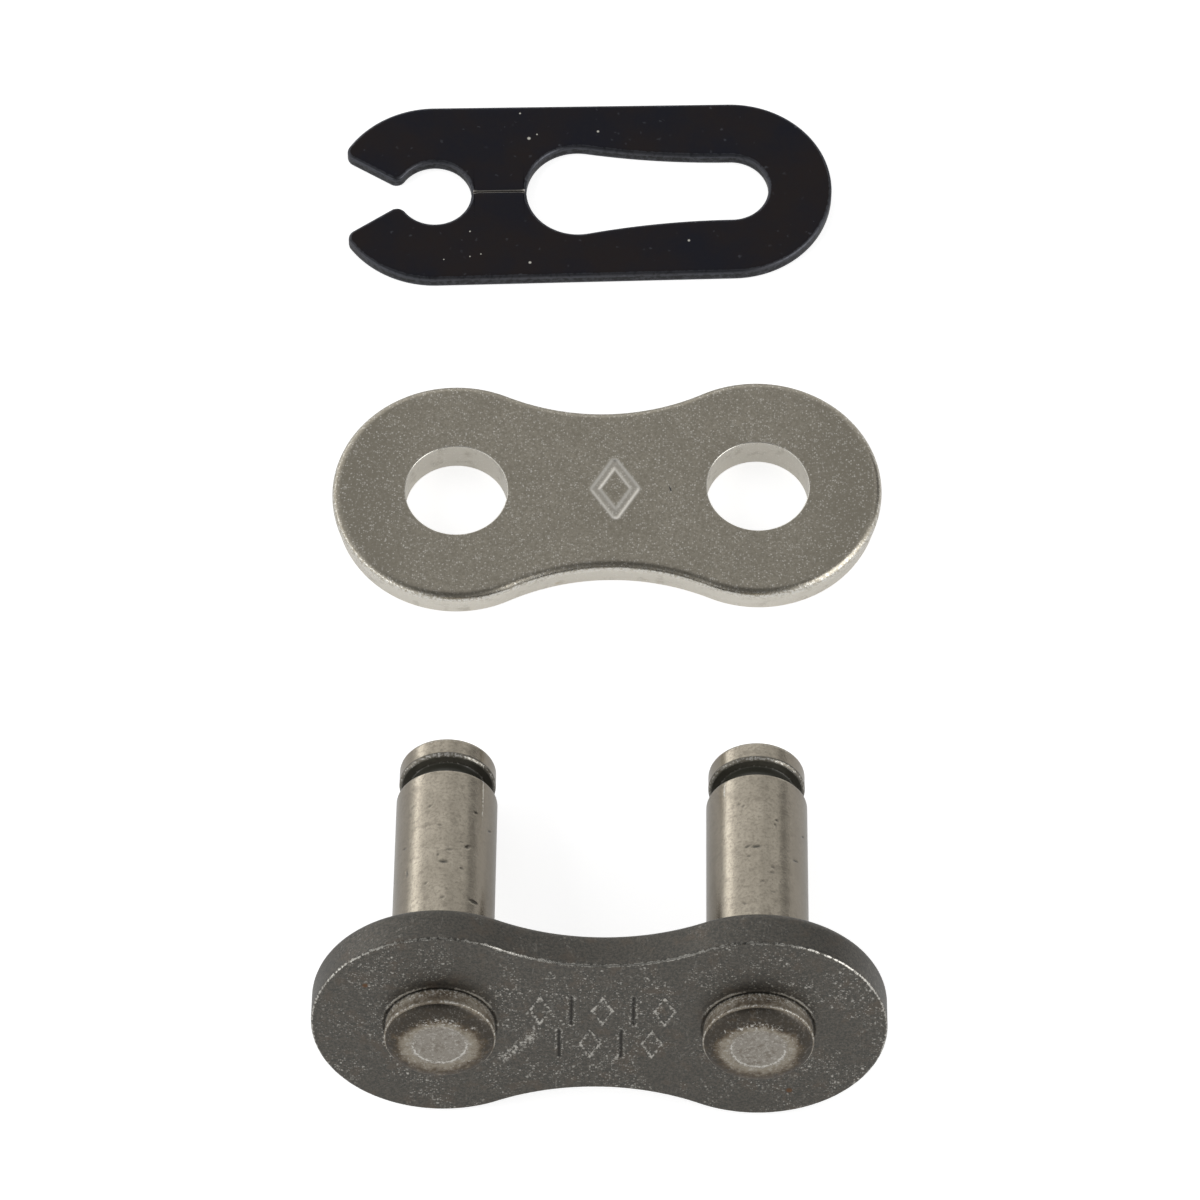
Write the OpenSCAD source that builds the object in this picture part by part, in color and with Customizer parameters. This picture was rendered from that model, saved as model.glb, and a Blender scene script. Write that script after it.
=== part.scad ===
// Clip type connecting link of a roller chain, taken apart and laid out on a flat surface.
// From front to back lie the pin link, the cover plate and the spring clip.
// X runs along the chain, +Y points from the pin link to the clip, +Z is up.
// The origin is the centre of the footprint, on the surface that the parts lie on.

/* [Chain] */
// Distance between the two pin centres
pitch = 15.875; // [14.5:0.025:19.05]

/* [Pin plate] */
// Radius of the two round ends of the pin plate
pin_plate_end_r = 6.45; // [5.6:0.05:7.2]
// Half of the pin plate's height at its waist
pin_plate_waist = 4.6; // [3.6:0.05:5.2]
// Thickness of the pin plate
pin_plate_t = 2.25; // [1.6:0.05:3]
// Rounding of the pin plate's edge on the side of the rivet heads
pin_plate_face_round = 0.14; // [0.05:0.01:0.4]
// Rounding of the pin plate's edge on the side of the pins
pin_plate_back_round = 0.6; // [0.1:0.05:0.8]

/* [Cover plate] */
// Radius of the two round ends of the cover plate
cover_end_r = 6.54; // [5.6:0.02:7.2]
// Half of the cover plate's height at its waist
cover_waist = 4.76; // [3.6:0.02:5.2]
// Thickness of the cover plate
cover_t = 2.2; // [1.6:0.05:3]
// Rounding of the cover plate's upper edge
cover_top_round = 0.45; // [0.1:0.05:0.7]
// Rounding of the cover plate's lower edge
cover_base_round = 0.6; // [0.1:0.05:0.8]
// How far the cover plate's sheared edge runs in towards its lower face
cover_base_inset = 0.18; // [0:0.02:0.3]
// Rounding at the upper rim of each hole in the cover plate
bore_top_round = 0.05; // [0.02:0.01:0.3]
// Rounding at the lower rim of each hole in the cover plate
bore_base_round = 0.3; // [0.02:0.01:0.5]

/* [Pins] */
// Radius of the pin's bearing length
pin_r = 2.59; // [2.2:0.01:2.7]
// Radial clearance between the pin and the cover plate's hole
bore_clearance = 0.1; // [0.03:0.01:0.25]
// Free width between the pin plate and the fitted cover plate
inner_width = 10.6; // [7:0.1:14]
// Small break of the edge where the bearing length ends
pin_edge = 0.08; // [0.02:0.01:0.2]
// Radius of the groove that takes the spring clip
groove_r = 1.9; // [1.5:0.05:2.1]
// Width of the groove
groove_w = 1.15; // [1:0.05:2]
// Radius of the head behind the groove
tip_r = 2.48; // [2.2:0.01:2.58]
// Length of the head behind the groove
tip_len = 1.25; // [0.7:0.05:2]
// Bevel of the head's edge beside the groove
tip_bevel = 0.14; // [0.05:0.01:0.25]
// Rounding of the pin's free end
tip_round = 0.25; // [0.1:0.05:0.4]

/* [Rivet heads] */
// Radius of the rivet head's rim
rivet_rim_r = 2.79; // [2.7:0.01:3.2]
// Radius of the rivet head where it meets the plate
rivet_base_r = 2.72; // [2.65:0.01:3.1]
// Height of the rivet head's rim above the plate
rivet_rim_h = 0.88; // [0.4:0.02:1.2]
// Radius of the flat in the middle of the rivet head
rivet_flat_r = 1.34; // [0.8:0.02:2]
// Height of that flat above the rim
rivet_dome_h = 0.4; // [0.15:0.05:0.7]
// Rounding of the rivet head's rim
rivet_rim_round = 0.07; // [0.03:0.01:0.15]

/* [Spring clip] */
// Thickness of the spring steel
clip_t = 0.8; // [0.6:0.05:1.2]
// Radius of the open end, about the eye
clip_open_r = 5.54; // [4.8:0.02:6.2]
// Radius of the closed end
clip_closed_r = 5.44; // [4.8:0.02:6.2]
// Play along the chain: the eye and the slot's end lie this much further apart than the pins
clip_play = 0.16; // [0:0.02:0.4]
// Radial clearance between the clip's eye and the pin's groove
eye_clearance = 0.08; // [0.03:0.01:0.2]
// Radial clearance between the slot's narrow end and the pin's groove
slot_clearance = 0.12; // [0.05:0.01:0.3]
// Radial clearance between the slot's wide end and the head that passes through it
keyhole_clearance = 0.3; // [0.1:0.01:0.5]
// Place of the wide end's centre, counted from the middle of the clip
keyhole_x = -0.28; // [-1:0.02:1]
// Angle between each side of the mouth and the clip's axis
mouth_angle = 32.5; // [22:0.5:38]
// Distance from the eye's centre to the point where the mouth's sides would meet
mouth_apex = 0.8; // [0.5:0.02:1.2]
// Rounding of the two corners between the mouth and the eye
throat_round = 0.55; // [0.2:0.05:0.7]
// Rounding of the two outer corners of the mouth
jaw_round = 0.56; // [0.1:0.02:0.6]
// Width of the sheared slit between the eye and the slot
slit_w = 0.05; // [0.03:0.01:0.2]

/* [Layout] */
// Free distance between the spring clip and the cover plate
clip_gap = 7; // [2:0.05:20]
// Free distance between the cover plate and the pin tips
link_gap = 9.8; // [2:0.05:25]
// Turn of the spring clip on the surface, in degrees
clip_turn = 2.15; // [-4:0.05:4]
// Turn of the cover plate on the surface, in degrees
cover_turn = 1.75; // [-4:0.05:4]
// How far the cover plate lies to the right of the pin link
cover_offset = 0.07; // [-2:0.01:2]
// How far the spring clip lies to the left of the cover plate
clip_offset = 1.5; // [-2:0.05:3]

/* [Hidden] */
$fn = 96;

// Number of straight steps in the profile of a rounded edge
round_steps = 6;
// Number of straight steps in the small rounding of a rivet head's rim
rim_steps = 3;
// Number of straight steps in each arc of the clip's outline
arc_steps = 18;
// Extra length of a cut beyond the face it breaks through
cut_past = 1;
// Share by which a plate's waist arc is flatter than the one that just touches both round ends, so
// that the arc crosses each end at a clear, very small angle
waist_ease = 1.004;

half_pitch = pitch / 2;
bore_r = pin_r + bore_clearance;
clip_half = half_pitch + clip_play / 2;
eye_r = groove_r + eye_clearance;
slot_r = groove_r + slot_clearance;
keyhole_r = tip_r + keyhole_clearance;

// Places along a pin, counted from the pin plate's outer face
body_end = pin_plate_t + inner_width + cover_t;
groove_end = body_end + groove_w;
pin_end = groove_end + tip_len;

// The pin link rests on the pin plate's inner edge and on the pins' heads. Seen along X, both are
// circles: the rounding of the plate's edge and the rounding of the pin's end. The surface is their
// common tangent, which gives the tilt of the pins and the height of the plate's outer face.
edge_axial = pin_plate_t - pin_plate_back_round;
edge_radial = pin_plate_end_r - pin_plate_back_round;
end_axial = pin_end - tip_round;
end_radial = tip_r - tip_round;
rest_span = norm([end_axial - edge_axial, edge_radial - end_radial]);
link_tilt = atan2(edge_radial - end_radial, end_axial - edge_axial)
    + asin((pin_plate_back_round - tip_round) / rest_span);
link_height = edge_axial * sin(link_tilt) + edge_radial * cos(link_tilt) + pin_plate_back_round;

// How far each part reaches to the front and to the back of its own centre
plate_front = pin_plate_face_round - pin_plate_face_round * cos(link_tilt)
    + (pin_plate_end_r - pin_plate_face_round) * sin(link_tilt);
rivet_dome_w = rivet_rim_r - rivet_rim_round - rivet_flat_r;
rivet_front = rivet_rim_h * cos(link_tilt) + rivet_flat_r * sin(link_tilt)
    + norm([rivet_dome_h * cos(link_tilt), rivet_dome_w * sin(link_tilt)]);
link_front = max(plate_front, rivet_front);
link_back = end_axial * cos(link_tilt) + end_radial * sin(link_tilt) + tip_round;
cover_reach = cover_end_r + half_pitch * abs(sin(cover_turn));
clip_rise = clip_half * sin(clip_turn);
clip_front = max(clip_open_r + clip_rise, clip_closed_r - clip_rise);
clip_back = max(clip_closed_r + clip_rise, clip_open_r - clip_rise);

// Places of the three parts on the surface
layout_length = link_front + link_back + link_gap + 2 * cover_reach + clip_gap + clip_front + clip_back;
link_y = link_front - layout_length / 2;
cover_y = link_y + link_back + link_gap + cover_reach;
clip_y = cover_y + cover_reach + clip_gap + clip_front;
// How far each part reaches to the left and to the right of its own centre
link_half_x = half_pitch + pin_plate_end_r;
cover_half_x = half_pitch * cos(cover_turn) + cover_end_r;
clip_jaw = along_mouth(jaw_round, clip_open_r - jaw_round);
clip_left_x = (clip_half - clip_jaw[0]) * cos(clip_turn) + clip_jaw[1] * abs(sin(clip_turn)) + jaw_round;
clip_right_x = clip_half * cos(clip_turn) + clip_closed_r;
left_reach = max(link_half_x + cover_offset, cover_half_x, clip_left_x + clip_offset);
right_reach = max(link_half_x - cover_offset, cover_half_x, clip_right_x - clip_offset);
cover_x = (left_reach - right_reach) / 2;
link_x = cover_x - cover_offset;
clip_x = cover_x - clip_offset;

// Points of an arc about a centre, from one angle to another
function arc_points(centre, r, from, to, steps) =
    [for (i = [0 : steps]) let (a = from + (to - from) * i / steps) centre + r * [cos(a), sin(a)]];

// The same points mirrored in the X axis and put in the opposite order
function mirrored(points) = [for (i = [len(points) - 1 : -1 : 0]) [points[i][0], -points[i][1]]];

// Half of a plate's section: a slab from the axis to reach, its outer edge rounded below and above.
// Below, the edge lies further in by the inset.
function plate_section(reach, t, low_round, high_round, low_inset) = concat(
    [[0, 0]],
    arc_points([reach - low_inset - low_round, low_round], low_round, -90, 0, round_steps),
    arc_points([reach - high_round, t - high_round], high_round, 0, 90, round_steps),
    [[0, t]]);

// What the waist's arc takes away, seen in section: it flares out where the plate's edge is rounded.
function waist_section(r, t, low_round, high_round, low_inset) = concat(
    [[0, -cut_past], [r + low_inset + low_round, -cut_past]],
    arc_points([r + low_inset + low_round, low_round], low_round, 270, 180, round_steps),
    arc_points([r + high_round, t - high_round], high_round, 180, 90, round_steps),
    [[r + high_round, t + cut_past], [0, t + cut_past]]);

// What a hole takes away, seen in section: a straight bore that opens in a rounding at each face
function bore_section(r, t, low_round, high_round) = waist_section(r, t, low_round, high_round, 0);

// Link plate lying on its lower face, in the form of an eight. Each round end is a disc with rounded
// edges. The waist is a block between the discs, and an arc that touches both of them cuts its sides.
module link_plate(end_r, waist, t, low_round, high_round, low_inset) {
    touching_r = (half_pitch ^ 2 + waist ^ 2 - end_r ^ 2) / (2 * (end_r - waist));
    waist_r = touching_r * waist_ease;
    touch_angle = atan2(waist + waist_r, -half_pitch);
    touch = [half_pitch + end_r * cos(touch_angle), end_r * sin(touch_angle)];
    for (side = [-1, 1])
        translate([side * half_pitch, 0, 0])
            rotate_extrude()
                polygon(plate_section(end_r, t, low_round, high_round, low_inset));
    difference() {
        linear_extrude(t)
            polygon([
                [half_pitch, 0], touch, [-touch[0], touch[1]],
                [-half_pitch, 0], -touch, [touch[0], -touch[1]]]);
        for (side = [-1, 1])
            translate([0, side * (waist + waist_r), 0])
                rotate_extrude()
                    polygon(waist_section(waist_r, t, low_round, high_round, low_inset));
    }
}

// Pin standing on its rivet head, with the pin plate's outer face at height zero. Riveting has swelled
// it inside the plate, so that its seat is a slight cone between the bearing length and the head.
module pin() {
    rim_top = -rivet_rim_h;
    dome = [rivet_dome_w, rivet_dome_h];
    rotate_extrude()
        polygon(concat(
            [[0, rim_top - dome[1]]],
            [for (i = [0 : round_steps]) let (a = 90 * i / round_steps)
                [rivet_flat_r + dome[0] * sin(a), rim_top - dome[1] * cos(a)]],
            arc_points([rivet_rim_r - rivet_rim_round, rim_top + rivet_rim_round], rivet_rim_round,
                -90, 0, rim_steps),
            [
                [rivet_base_r, 0], [pin_r, pin_plate_t], [pin_r, body_end - pin_edge],
                [pin_r - pin_edge, body_end], [groove_r, body_end], [groove_r, groove_end],
                [tip_r - tip_bevel, groove_end], [tip_r, groove_end + tip_bevel]],
            arc_points([tip_r - tip_round, pin_end - tip_round], tip_round, 0, 90, round_steps),
            [[0, pin_end]]));
}

// What a pin's seat takes away from the pin plate: the same slight cone, open beyond both faces
module seat_cut()
    rotate_extrude()
        polygon([
            [0, -cut_past], [rivet_base_r, -cut_past], [rivet_base_r, 0],
            [pin_r, pin_plate_t], [pin_r, pin_plate_t + cut_past], [0, pin_plate_t + cut_past]]);

// Puts a part of the pin link, modelled upright on the plate's outer face, where the link lies
module lay_link()
    translate([link_x, link_y, link_height])
        rotate([-90 - link_tilt, 0, 0])
            children();

// Upper half of the clip's outline about the open end, from the slit round the eye to the closed end.
// The mouth's side is a line that runs from the apex outwards, and an arc rounds it at both ends.
function mouth_line(gap) = [-mouth_apex, 0] + gap * [sin(mouth_angle), cos(mouth_angle)];
function along_mouth(gap, reach) =
    let (p = mouth_line(gap), d = [-cos(mouth_angle), sin(mouth_angle)], b = p * d)
    p + (sqrt(b ^ 2 - p * p + reach ^ 2) - b) * d;

function clip_open_end() =
    let (
        throat = along_mouth(throat_round, eye_r + throat_round),
        jaw = along_mouth(jaw_round, clip_open_r - jaw_round),
        throat_angle = atan2(throat[1], throat[0]),
        jaw_angle = atan2(jaw[1], jaw[0]),
        mouth_side = 270 - mouth_angle,
        slit_angle = asin(slit_w / 2 / eye_r))
    concat(
        arc_points([0, 0], eye_r, slit_angle, throat_angle, arc_steps),
        arc_points(throat, throat_round, throat_angle + 180, mouth_side, round_steps),
        arc_points(jaw, jaw_round, mouth_side, jaw_angle, round_steps),
        arc_points([0, 0], clip_open_r, jaw_angle, 90, arc_steps));

// Upper half of the slot, from its wide end to its narrow end. An arc joins the two ends and touches both.
function slot_half() =
    let (
        span = clip_half - keyhole_x,
        blend_r = (span ^ 2 + slot_r ^ 2 - keyhole_r ^ 2) / (2 * (keyhole_r - slot_r)),
        blend_centre = [clip_half, slot_r + blend_r],
        touch_angle = atan2(blend_centre[1], span),
        slit_angle = 180 - asin(slit_w / 2 / keyhole_r))
    concat(
        arc_points([keyhole_x, 0], keyhole_r, slit_angle, touch_angle, arc_steps),
        arc_points(blend_centre, blend_r, touch_angle - 180, -90, arc_steps),
        arc_points([clip_half, 0], slot_r, 90, 0, arc_steps));

// The whole outline is one loop, because the slit joins the eye and the slot
function clip_outline() =
    let (
        open_end = [for (p = clip_open_end()) p - [clip_half, 0]],
        closed_end = arc_points([clip_half, 0], clip_closed_r, 90, 0, arc_steps),
        upper = concat(open_end, closed_end),
        slot = slot_half())
    concat(
        upper,
        mirrored(upper),
        [for (p = slot) [p[0], -p[1]]],
        [for (i = [len(slot) - 1 : -1 : 0]) slot[i]]);

module pin_plate() {
    color([0.3, 0.3, 0.29])
        lay_link()
            difference() {
                link_plate(pin_plate_end_r, pin_plate_waist, pin_plate_t,
                    pin_plate_face_round, pin_plate_back_round, 0);
                for (side = [-1, 1])
                    translate([side * half_pitch, 0, 0])
                        seat_cut();
            }
}

module left_pin() {
    color([0.6, 0.58, 0.54])
        lay_link()
            translate([-half_pitch, 0, 0])
                pin();
}

module right_pin() {
    color([0.6, 0.58, 0.54])
        lay_link()
            translate([half_pitch, 0, 0])
                pin();
}

module cover_plate() {
    color([0.55, 0.53, 0.5])
        translate([cover_x, cover_y, 0])
            rotate([0, 0, cover_turn])
                difference() {
                    link_plate(cover_end_r, cover_waist, cover_t,
                        cover_base_round, cover_top_round, cover_base_inset);
                    for (side = [-1, 1])
                        translate([side * half_pitch, 0, 0])
                            rotate_extrude()
                                polygon(bore_section(bore_r, cover_t, bore_base_round, bore_top_round));
                }
}

module spring_clip() {
    color([0.13, 0.13, 0.14])
        translate([clip_x, clip_y, 0])
            rotate([0, 0, clip_turn])
                linear_extrude(clip_t)
                    polygon(clip_outline());
}

pin_plate();
left_pin();
right_pin();
cover_plate();
spring_clip();
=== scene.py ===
"""Clip type connecting link of a roller chain, taken apart and laid out on a pale table.

From front to back lie the pin link (a pin plate with two riveted pins), the cover plate and the spring
clip. Sizes in the classes are millimetres; points turn into metres only when a mesh is made.
"""
import logging
import math
from dataclasses import dataclass, field
from enum import Enum

import bmesh
import bpy
import numpy as np
from mathutils import Matrix


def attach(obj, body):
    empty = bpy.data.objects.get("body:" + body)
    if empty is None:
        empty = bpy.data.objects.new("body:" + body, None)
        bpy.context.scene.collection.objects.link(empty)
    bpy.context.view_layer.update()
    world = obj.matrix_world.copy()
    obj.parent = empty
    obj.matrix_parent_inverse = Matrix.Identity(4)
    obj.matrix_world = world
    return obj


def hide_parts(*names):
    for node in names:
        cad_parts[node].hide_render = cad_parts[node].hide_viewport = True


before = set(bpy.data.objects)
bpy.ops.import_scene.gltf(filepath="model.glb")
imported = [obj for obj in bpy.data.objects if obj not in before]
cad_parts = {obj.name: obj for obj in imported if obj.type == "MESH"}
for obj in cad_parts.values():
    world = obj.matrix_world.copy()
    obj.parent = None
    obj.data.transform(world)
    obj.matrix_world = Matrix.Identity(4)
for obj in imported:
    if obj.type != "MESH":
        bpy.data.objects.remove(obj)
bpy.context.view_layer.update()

LOG = logging.getLogger("connecting_link")
METRES = 0.001
WELD = 1e-5
SPOT_CORE = 0.4
TINY = 1e-6
Array = np.ndarray
Triple = tuple[float, float, float]
Colour = Triple
Pair = tuple[float, float]


class Slot(Enum):
    """Material slots of the record, one for each kind of steel."""

    DARK_PLATE = "dark_plate_steel"
    PIN = "pin_steel"
    PLATED = "plated_steel"
    BLUED = "blued_spring_steel"


# Geometry that all parts share.


def arc(centre: tuple[float, float], radius: float, start: float, end: float, steps: int) -> Array:
    """Points on a circle about a centre, at equal steps of the angle.

    Args:
        centre: Centre of the circle.
        radius: Radius of the circle.
        start: First angle in degrees.
        end: Last angle in degrees.
        steps: Number of steps between the two.

    Returns:
        Points, one row each.
    """
    a = np.radians(np.linspace(start, end, steps + 1))
    return np.stack([centre[0] + radius * np.cos(a), centre[1] + radius * np.sin(a)], -1)


def smooth(x: Array) -> Array:
    """Smooth step 3x^2 - 2x^3 of a value held between 0 and 1."""
    t = np.clip(x, 0.0, 1.0)
    return t * t * (3.0 - 2.0 * t)


def ramp(x: Array, start: float, length: float) -> Array:
    """Smooth step from 0 at a start to 1 a length further on."""
    return smooth((x - start) / length)


def hump(x: Array, middle: float, half: float) -> Array:
    """Bell curve exp(-((x - middle) / half)^2), 1 at its middle."""
    return np.exp(-(((x - middle) / half) ** 2))


def spread(start: float, end: float, steps: int) -> Array:
    """Rows from start to end with two narrow rows beside each end, which keep the edges' shading crisp."""
    inner = np.linspace(0.02, 0.98, steps)
    return start + (end - start) * np.concatenate([[0.0, 0.006], inner, [0.994, 1.0]])


def between(start: Array, end: Array, steps: int) -> Array:
    """Rows of points that run from one line of points to another."""
    s = spread(0.0, 1.0, steps)[:, None, None]
    return start * (1 - s) + end * s


def stroke_distance(x: Array, y: Array, strokes: Array) -> Array:
    """Distance from points to the nearest of several straight strokes.

    For each stroke the point is dropped on the line, its place is held between the two ends, and the
    distance to that place is taken. The smallest over all strokes counts.

    Args:
        x: First coordinate of the points.
        y: Second coordinate of the points.
        strokes: One row for each stroke, as x0, y0, x1, y1.

    Returns:
        Distances in the shape of x.
    """
    start, run = strokes[:, :2], strokes[:, 2:] - strokes[:, :2]
    gap = np.stack([x, y], -1)[..., None, :] - start
    along = np.clip((gap * run).sum(-1) / np.maximum((run * run).sum(-1), 1e-9), 0.0, 1.0)
    return np.sqrt(((gap - along[..., None] * run) ** 2).sum(-1)).min(-1)


@dataclass(frozen=True)
class Place:
    """Where a part lies: origin, turn on the table about Z, and tilt of the pin link about X."""

    origin: Triple
    turn: float = 0.0
    tilt: float | None = None

    def put(self, points: Array) -> Array:
        """Carries points from the part's own frame to the shared frame.

        A tilted part stands with its own Z along the pins: Y points down and Z points back and down.

        Args:
            points: Points in the part's frame.

        Returns:
            Points in the shared frame, in millimetres.
        """
        if self.tilt is None:
            c, s = math.cos(math.radians(self.turn)), math.sin(math.radians(self.turn))
            axes = np.array([[c, s, 0.0], [-s, c, 0.0], [0.0, 0.0, 1.0]])
        else:
            c, s = math.cos(math.radians(self.tilt)), math.sin(math.radians(self.tilt))
            axes = np.array([[1.0, 0.0, 0.0], [0.0, -s, -c], [0.0, c, -s]])
        return points @ axes + np.array(self.origin)


class Surface:
    """Grids of points that are welded into one closed mesh, with named values carried on the points."""

    def __init__(self, names: tuple[str, ...]) -> None:
        """Starts an empty surface.

        Args:
            names: Names of the values that each point carries.
        """
        self.names = names
        self.points: list[Array] = []
        self.values: list[Array] = []
        self.quads: list[Array] = []
        self.count = 0

    def add(self, points: Array, close: bool = False, **values: Array | float) -> None:
        """Adds a grid of rows and columns.

        Args:
            points: Array of rows, columns and three coordinates, in millimetres.
            close: Whether the last column joins the first one.
            **values: Value of each named kind at each point, or one for the whole grid. The rest are 0.
        """
        rows, cols = points.shape[:2]
        index = np.arange(rows * cols).reshape(rows, cols) + self.count
        if close:
            index = np.concatenate([index, index[:, :1]], 1)
        quads = np.stack([index[:-1, :-1], index[:-1, 1:], index[1:, 1:], index[1:, :-1]], -1)
        carried = [np.broadcast_to(values.get(name, 0.0), (rows, cols)).ravel() for name in self.names]
        self.points.append(points.reshape(-1, 3))
        self.values.append(np.stack(carried, -1) if carried else np.zeros((rows * cols, 0)))
        self.quads.append(quads.reshape(-1, 4))
        self.count += rows * cols

    def make(self, name: str, place: Place) -> bpy.types.Object:
        """Welds the grids, turns their faces outwards and makes the object.

        Args:
            name: Name of the object and its mesh.
            place: Where the part lies.

        Returns:
            The new object, at the origin and unturned.
        """
        points = np.concatenate(self.points)
        _, first, inverse = np.unique(np.round(points / WELD), axis=0, return_index=True, return_inverse=True)
        quads = inverse.reshape(-1)[np.concatenate(self.quads)]
        same = quads == np.roll(quads, -1, axis=1)
        whole = quads[same.sum(1) == 0]
        pinched, corner = quads[same.sum(1) == 1], same[same.sum(1) == 1].argmax(1)
        tris = pinched[np.arange(len(pinched))[:, None], (corner[:, None] + np.array([1, 2, 3])) % 4]
        mesh = bpy.data.meshes.new(name)
        mesh.vertices.add(len(first))
        mesh.vertices.foreach_set("co", (place.put(points[first]) * METRES).astype(np.float32).ravel())
        mesh.loops.add(whole.size + tris.size)
        mesh.loops.foreach_set("vertex_index", np.concatenate([whole.ravel(), tris.ravel()]).astype(np.int32))
        mesh.polygons.add(len(whole) + len(tris))
        starts = np.concatenate([4 * np.arange(len(whole)), whole.size + 3 * np.arange(len(tris))])
        mesh.polygons.foreach_set("loop_start", starts.astype(np.int32))
        mesh.update(calc_edges=True)
        work = bmesh.new()
        work.from_mesh(mesh)
        bmesh.ops.recalc_face_normals(work, faces=work.faces)
        work.to_mesh(mesh)
        work.free()
        mesh.polygons.foreach_set("use_smooth", np.ones(len(mesh.polygons), bool))
        values = np.concatenate(self.values)[first].astype(np.float32)
        for column, kind in enumerate(self.names):
            layer = mesh.attributes.new(kind, "FLOAT", "POINT")
            layer.data.foreach_set("value", np.ascontiguousarray(values[:, column]))
        piece = bpy.data.objects.new(name, mesh)
        bpy.context.scene.collection.objects.link(piece)
        return piece


# Calls that lay out shader nodes, and the effects made with them.


class Graph:
    """Short calls that lay out the nodes of a material, a group or the world."""

    def __init__(self, tree: bpy.types.NodeTree) -> None:
        """Wraps a node tree."""
        self.tree = tree

    def add(self, kind: str, **settings: object) -> bpy.types.Node:
        """Adds a node and sets its properties.

        Args:
            kind: Node type without the leading ShaderNode.
            **settings: Properties of the node.

        Returns:
            The new node.
        """
        node = self.tree.nodes.new(kind if kind.startswith("Node") else "ShaderNode" + kind)
        for key, value in settings.items():
            setattr(node, key, value)
        return node

    def feed(self, socket: bpy.types.NodeSocket, value: object) -> None:
        """Links a socket, or sets its value.

        Args:
            socket: The input socket.
            value: An output socket, a number or a tuple.
        """
        if isinstance(value, bpy.types.NodeSocket):
            self.tree.links.new(value, socket)
        elif isinstance(value, tuple) and len(value) == 3 and socket.type == "RGBA":
            socket.default_value = (*value, 1.0)
        else:
            socket.default_value = value

    def math(self, operation: str, a: object, b: object = 0.0, clamp: bool = False) -> bpy.types.NodeSocket:
        """One step of arithmetic.

        Args:
            operation: Name of the operation.
            a: First value.
            b: Second value.
            clamp: Whether the result is held between 0 and 1.

        Returns:
            The result's socket.
        """
        node = self.add("Math", operation=operation, use_clamp=clamp)
        self.feed(node.inputs[0], a)
        self.feed(node.inputs[1], b)
        return node.outputs[0]

    def times(self, a: object, b: object) -> bpy.types.NodeSocket:
        """Product of two values."""
        return self.math("MULTIPLY", a, b)

    def mix(self, factor: object, a: object, b: object) -> bpy.types.NodeSocket:
        """Mixes two colours.

        Args:
            factor: Share of the second colour.
            a: First colour.
            b: Second colour.

        Returns:
            The mixed colour's socket.
        """
        node = self.add("Mix", data_type="RGBA", blend_type="MIX")
        self.feed(node.inputs[0], factor)
        self.feed(node.inputs[6], a)
        self.feed(node.inputs[7], b)
        return node.outputs[2]

    def layers(self, colour: object, coats: tuple[tuple[object, object], ...]) -> object:
        """Lays coats of colour over each other.

        Args:
            colour: The lowest colour.
            coats: Share and colour of each coat, from the lowest up.

        Returns:
            The uppermost colour's socket.
        """
        for share, coat in coats:
            colour = self.mix(share, colour, coat)
        return colour

    def span(self, value: object, low: float, high: float, to_low: float = 0.0,
             to_high: float = 1.0) -> bpy.types.NodeSocket:
        """Maps a range to another one, smoothly and held at both ends.

        Args:
            value: The value.
            low: Start of the range.
            high: End of the range.
            to_low: Result at the start.
            to_high: Result at the end.

        Returns:
            The result's socket.
        """
        node = self.add("MapRange", interpolation_type="SMOOTHSTEP", clamp=True)
        for socket, given in zip(node.inputs, (value, low, high, to_low, to_high)):
            self.feed(socket, given)
        return node.outputs[0]

    def noise(self, vector: object, scale: object, detail: float = 2.0,
              rough: float = 0.5) -> bpy.types.NodeSocket:
        """Fractal noise between 0 and 1.

        Args:
            vector: Place.
            scale: Waves per millimetre.
            detail: Number of finer layers.
            rough: Strength of the finer layers.

        Returns:
            The value's socket.
        """
        node = self.add("TexNoise", noise_dimensions="3D", normalize=True)
        self.feed(node.inputs["Vector"], vector)
        self.feed(node.inputs["Scale"], scale)
        self.feed(node.inputs["Detail"], detail)
        self.feed(node.inputs["Roughness"], rough)
        return node.outputs["Fac"]

    def cells(self, vector: object, scale: object) -> bpy.types.Node:
        """Voronoi cells: distance to the nearest cell's point, and a colour of its own for each cell."""
        node = self.add("TexVoronoi", voronoi_dimensions="3D", feature="F1")
        self.feed(node.inputs["Vector"], vector)
        self.feed(node.inputs["Scale"], scale)
        return node

    def vector(self, operation: str, a: object, b: object = None,
               scale: object = None) -> bpy.types.NodeSocket:
        """One step of vector arithmetic.

        Args:
            operation: Name of the operation.
            a: First vector.
            b: Second vector, where the operation has one.
            scale: Factor of a scaling.

        Returns:
            The result's socket, a number for a distance or a dot product.
        """
        node = self.add("VectorMath", operation=operation)
        self.feed(node.inputs[0], a)
        if b is not None:
            self.feed(node.inputs[1], b)
        if scale is not None:
            self.feed(node.inputs["Scale"], scale)
        return node.outputs["Value" if operation in ("DISTANCE", "DOT_PRODUCT") else "Vector"]

    def place_mm(self, stretch: Triple = (1.0, 1.0, 1.0), turn: float = 0.0,
                 tilt: float = 0.0) -> bpy.types.NodeSocket:
        """Object coordinates in millimetres, turned to a pattern's own axes and then stretched.

        Args:
            stretch: Factor along each axis of the pattern.
            turn: Turn about Z in degrees.
            tilt: Turn about X in degrees.

        Returns:
            The place's socket.
        """
        coordinates = self.add("TexCoord").outputs["Object"]
        turned = self.add("Mapping", vector_type="POINT")
        turned.inputs["Rotation"].default_value = (math.radians(tilt), 0.0, math.radians(turn))
        turned.inputs["Scale"].default_value = (1.0 / METRES,) * 3
        self.feed(turned.inputs["Vector"], coordinates)
        if stretch == (1.0, 1.0, 1.0):
            return turned.outputs[0]
        return self.vector("MULTIPLY", turned.outputs[0], stretch)

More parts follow.
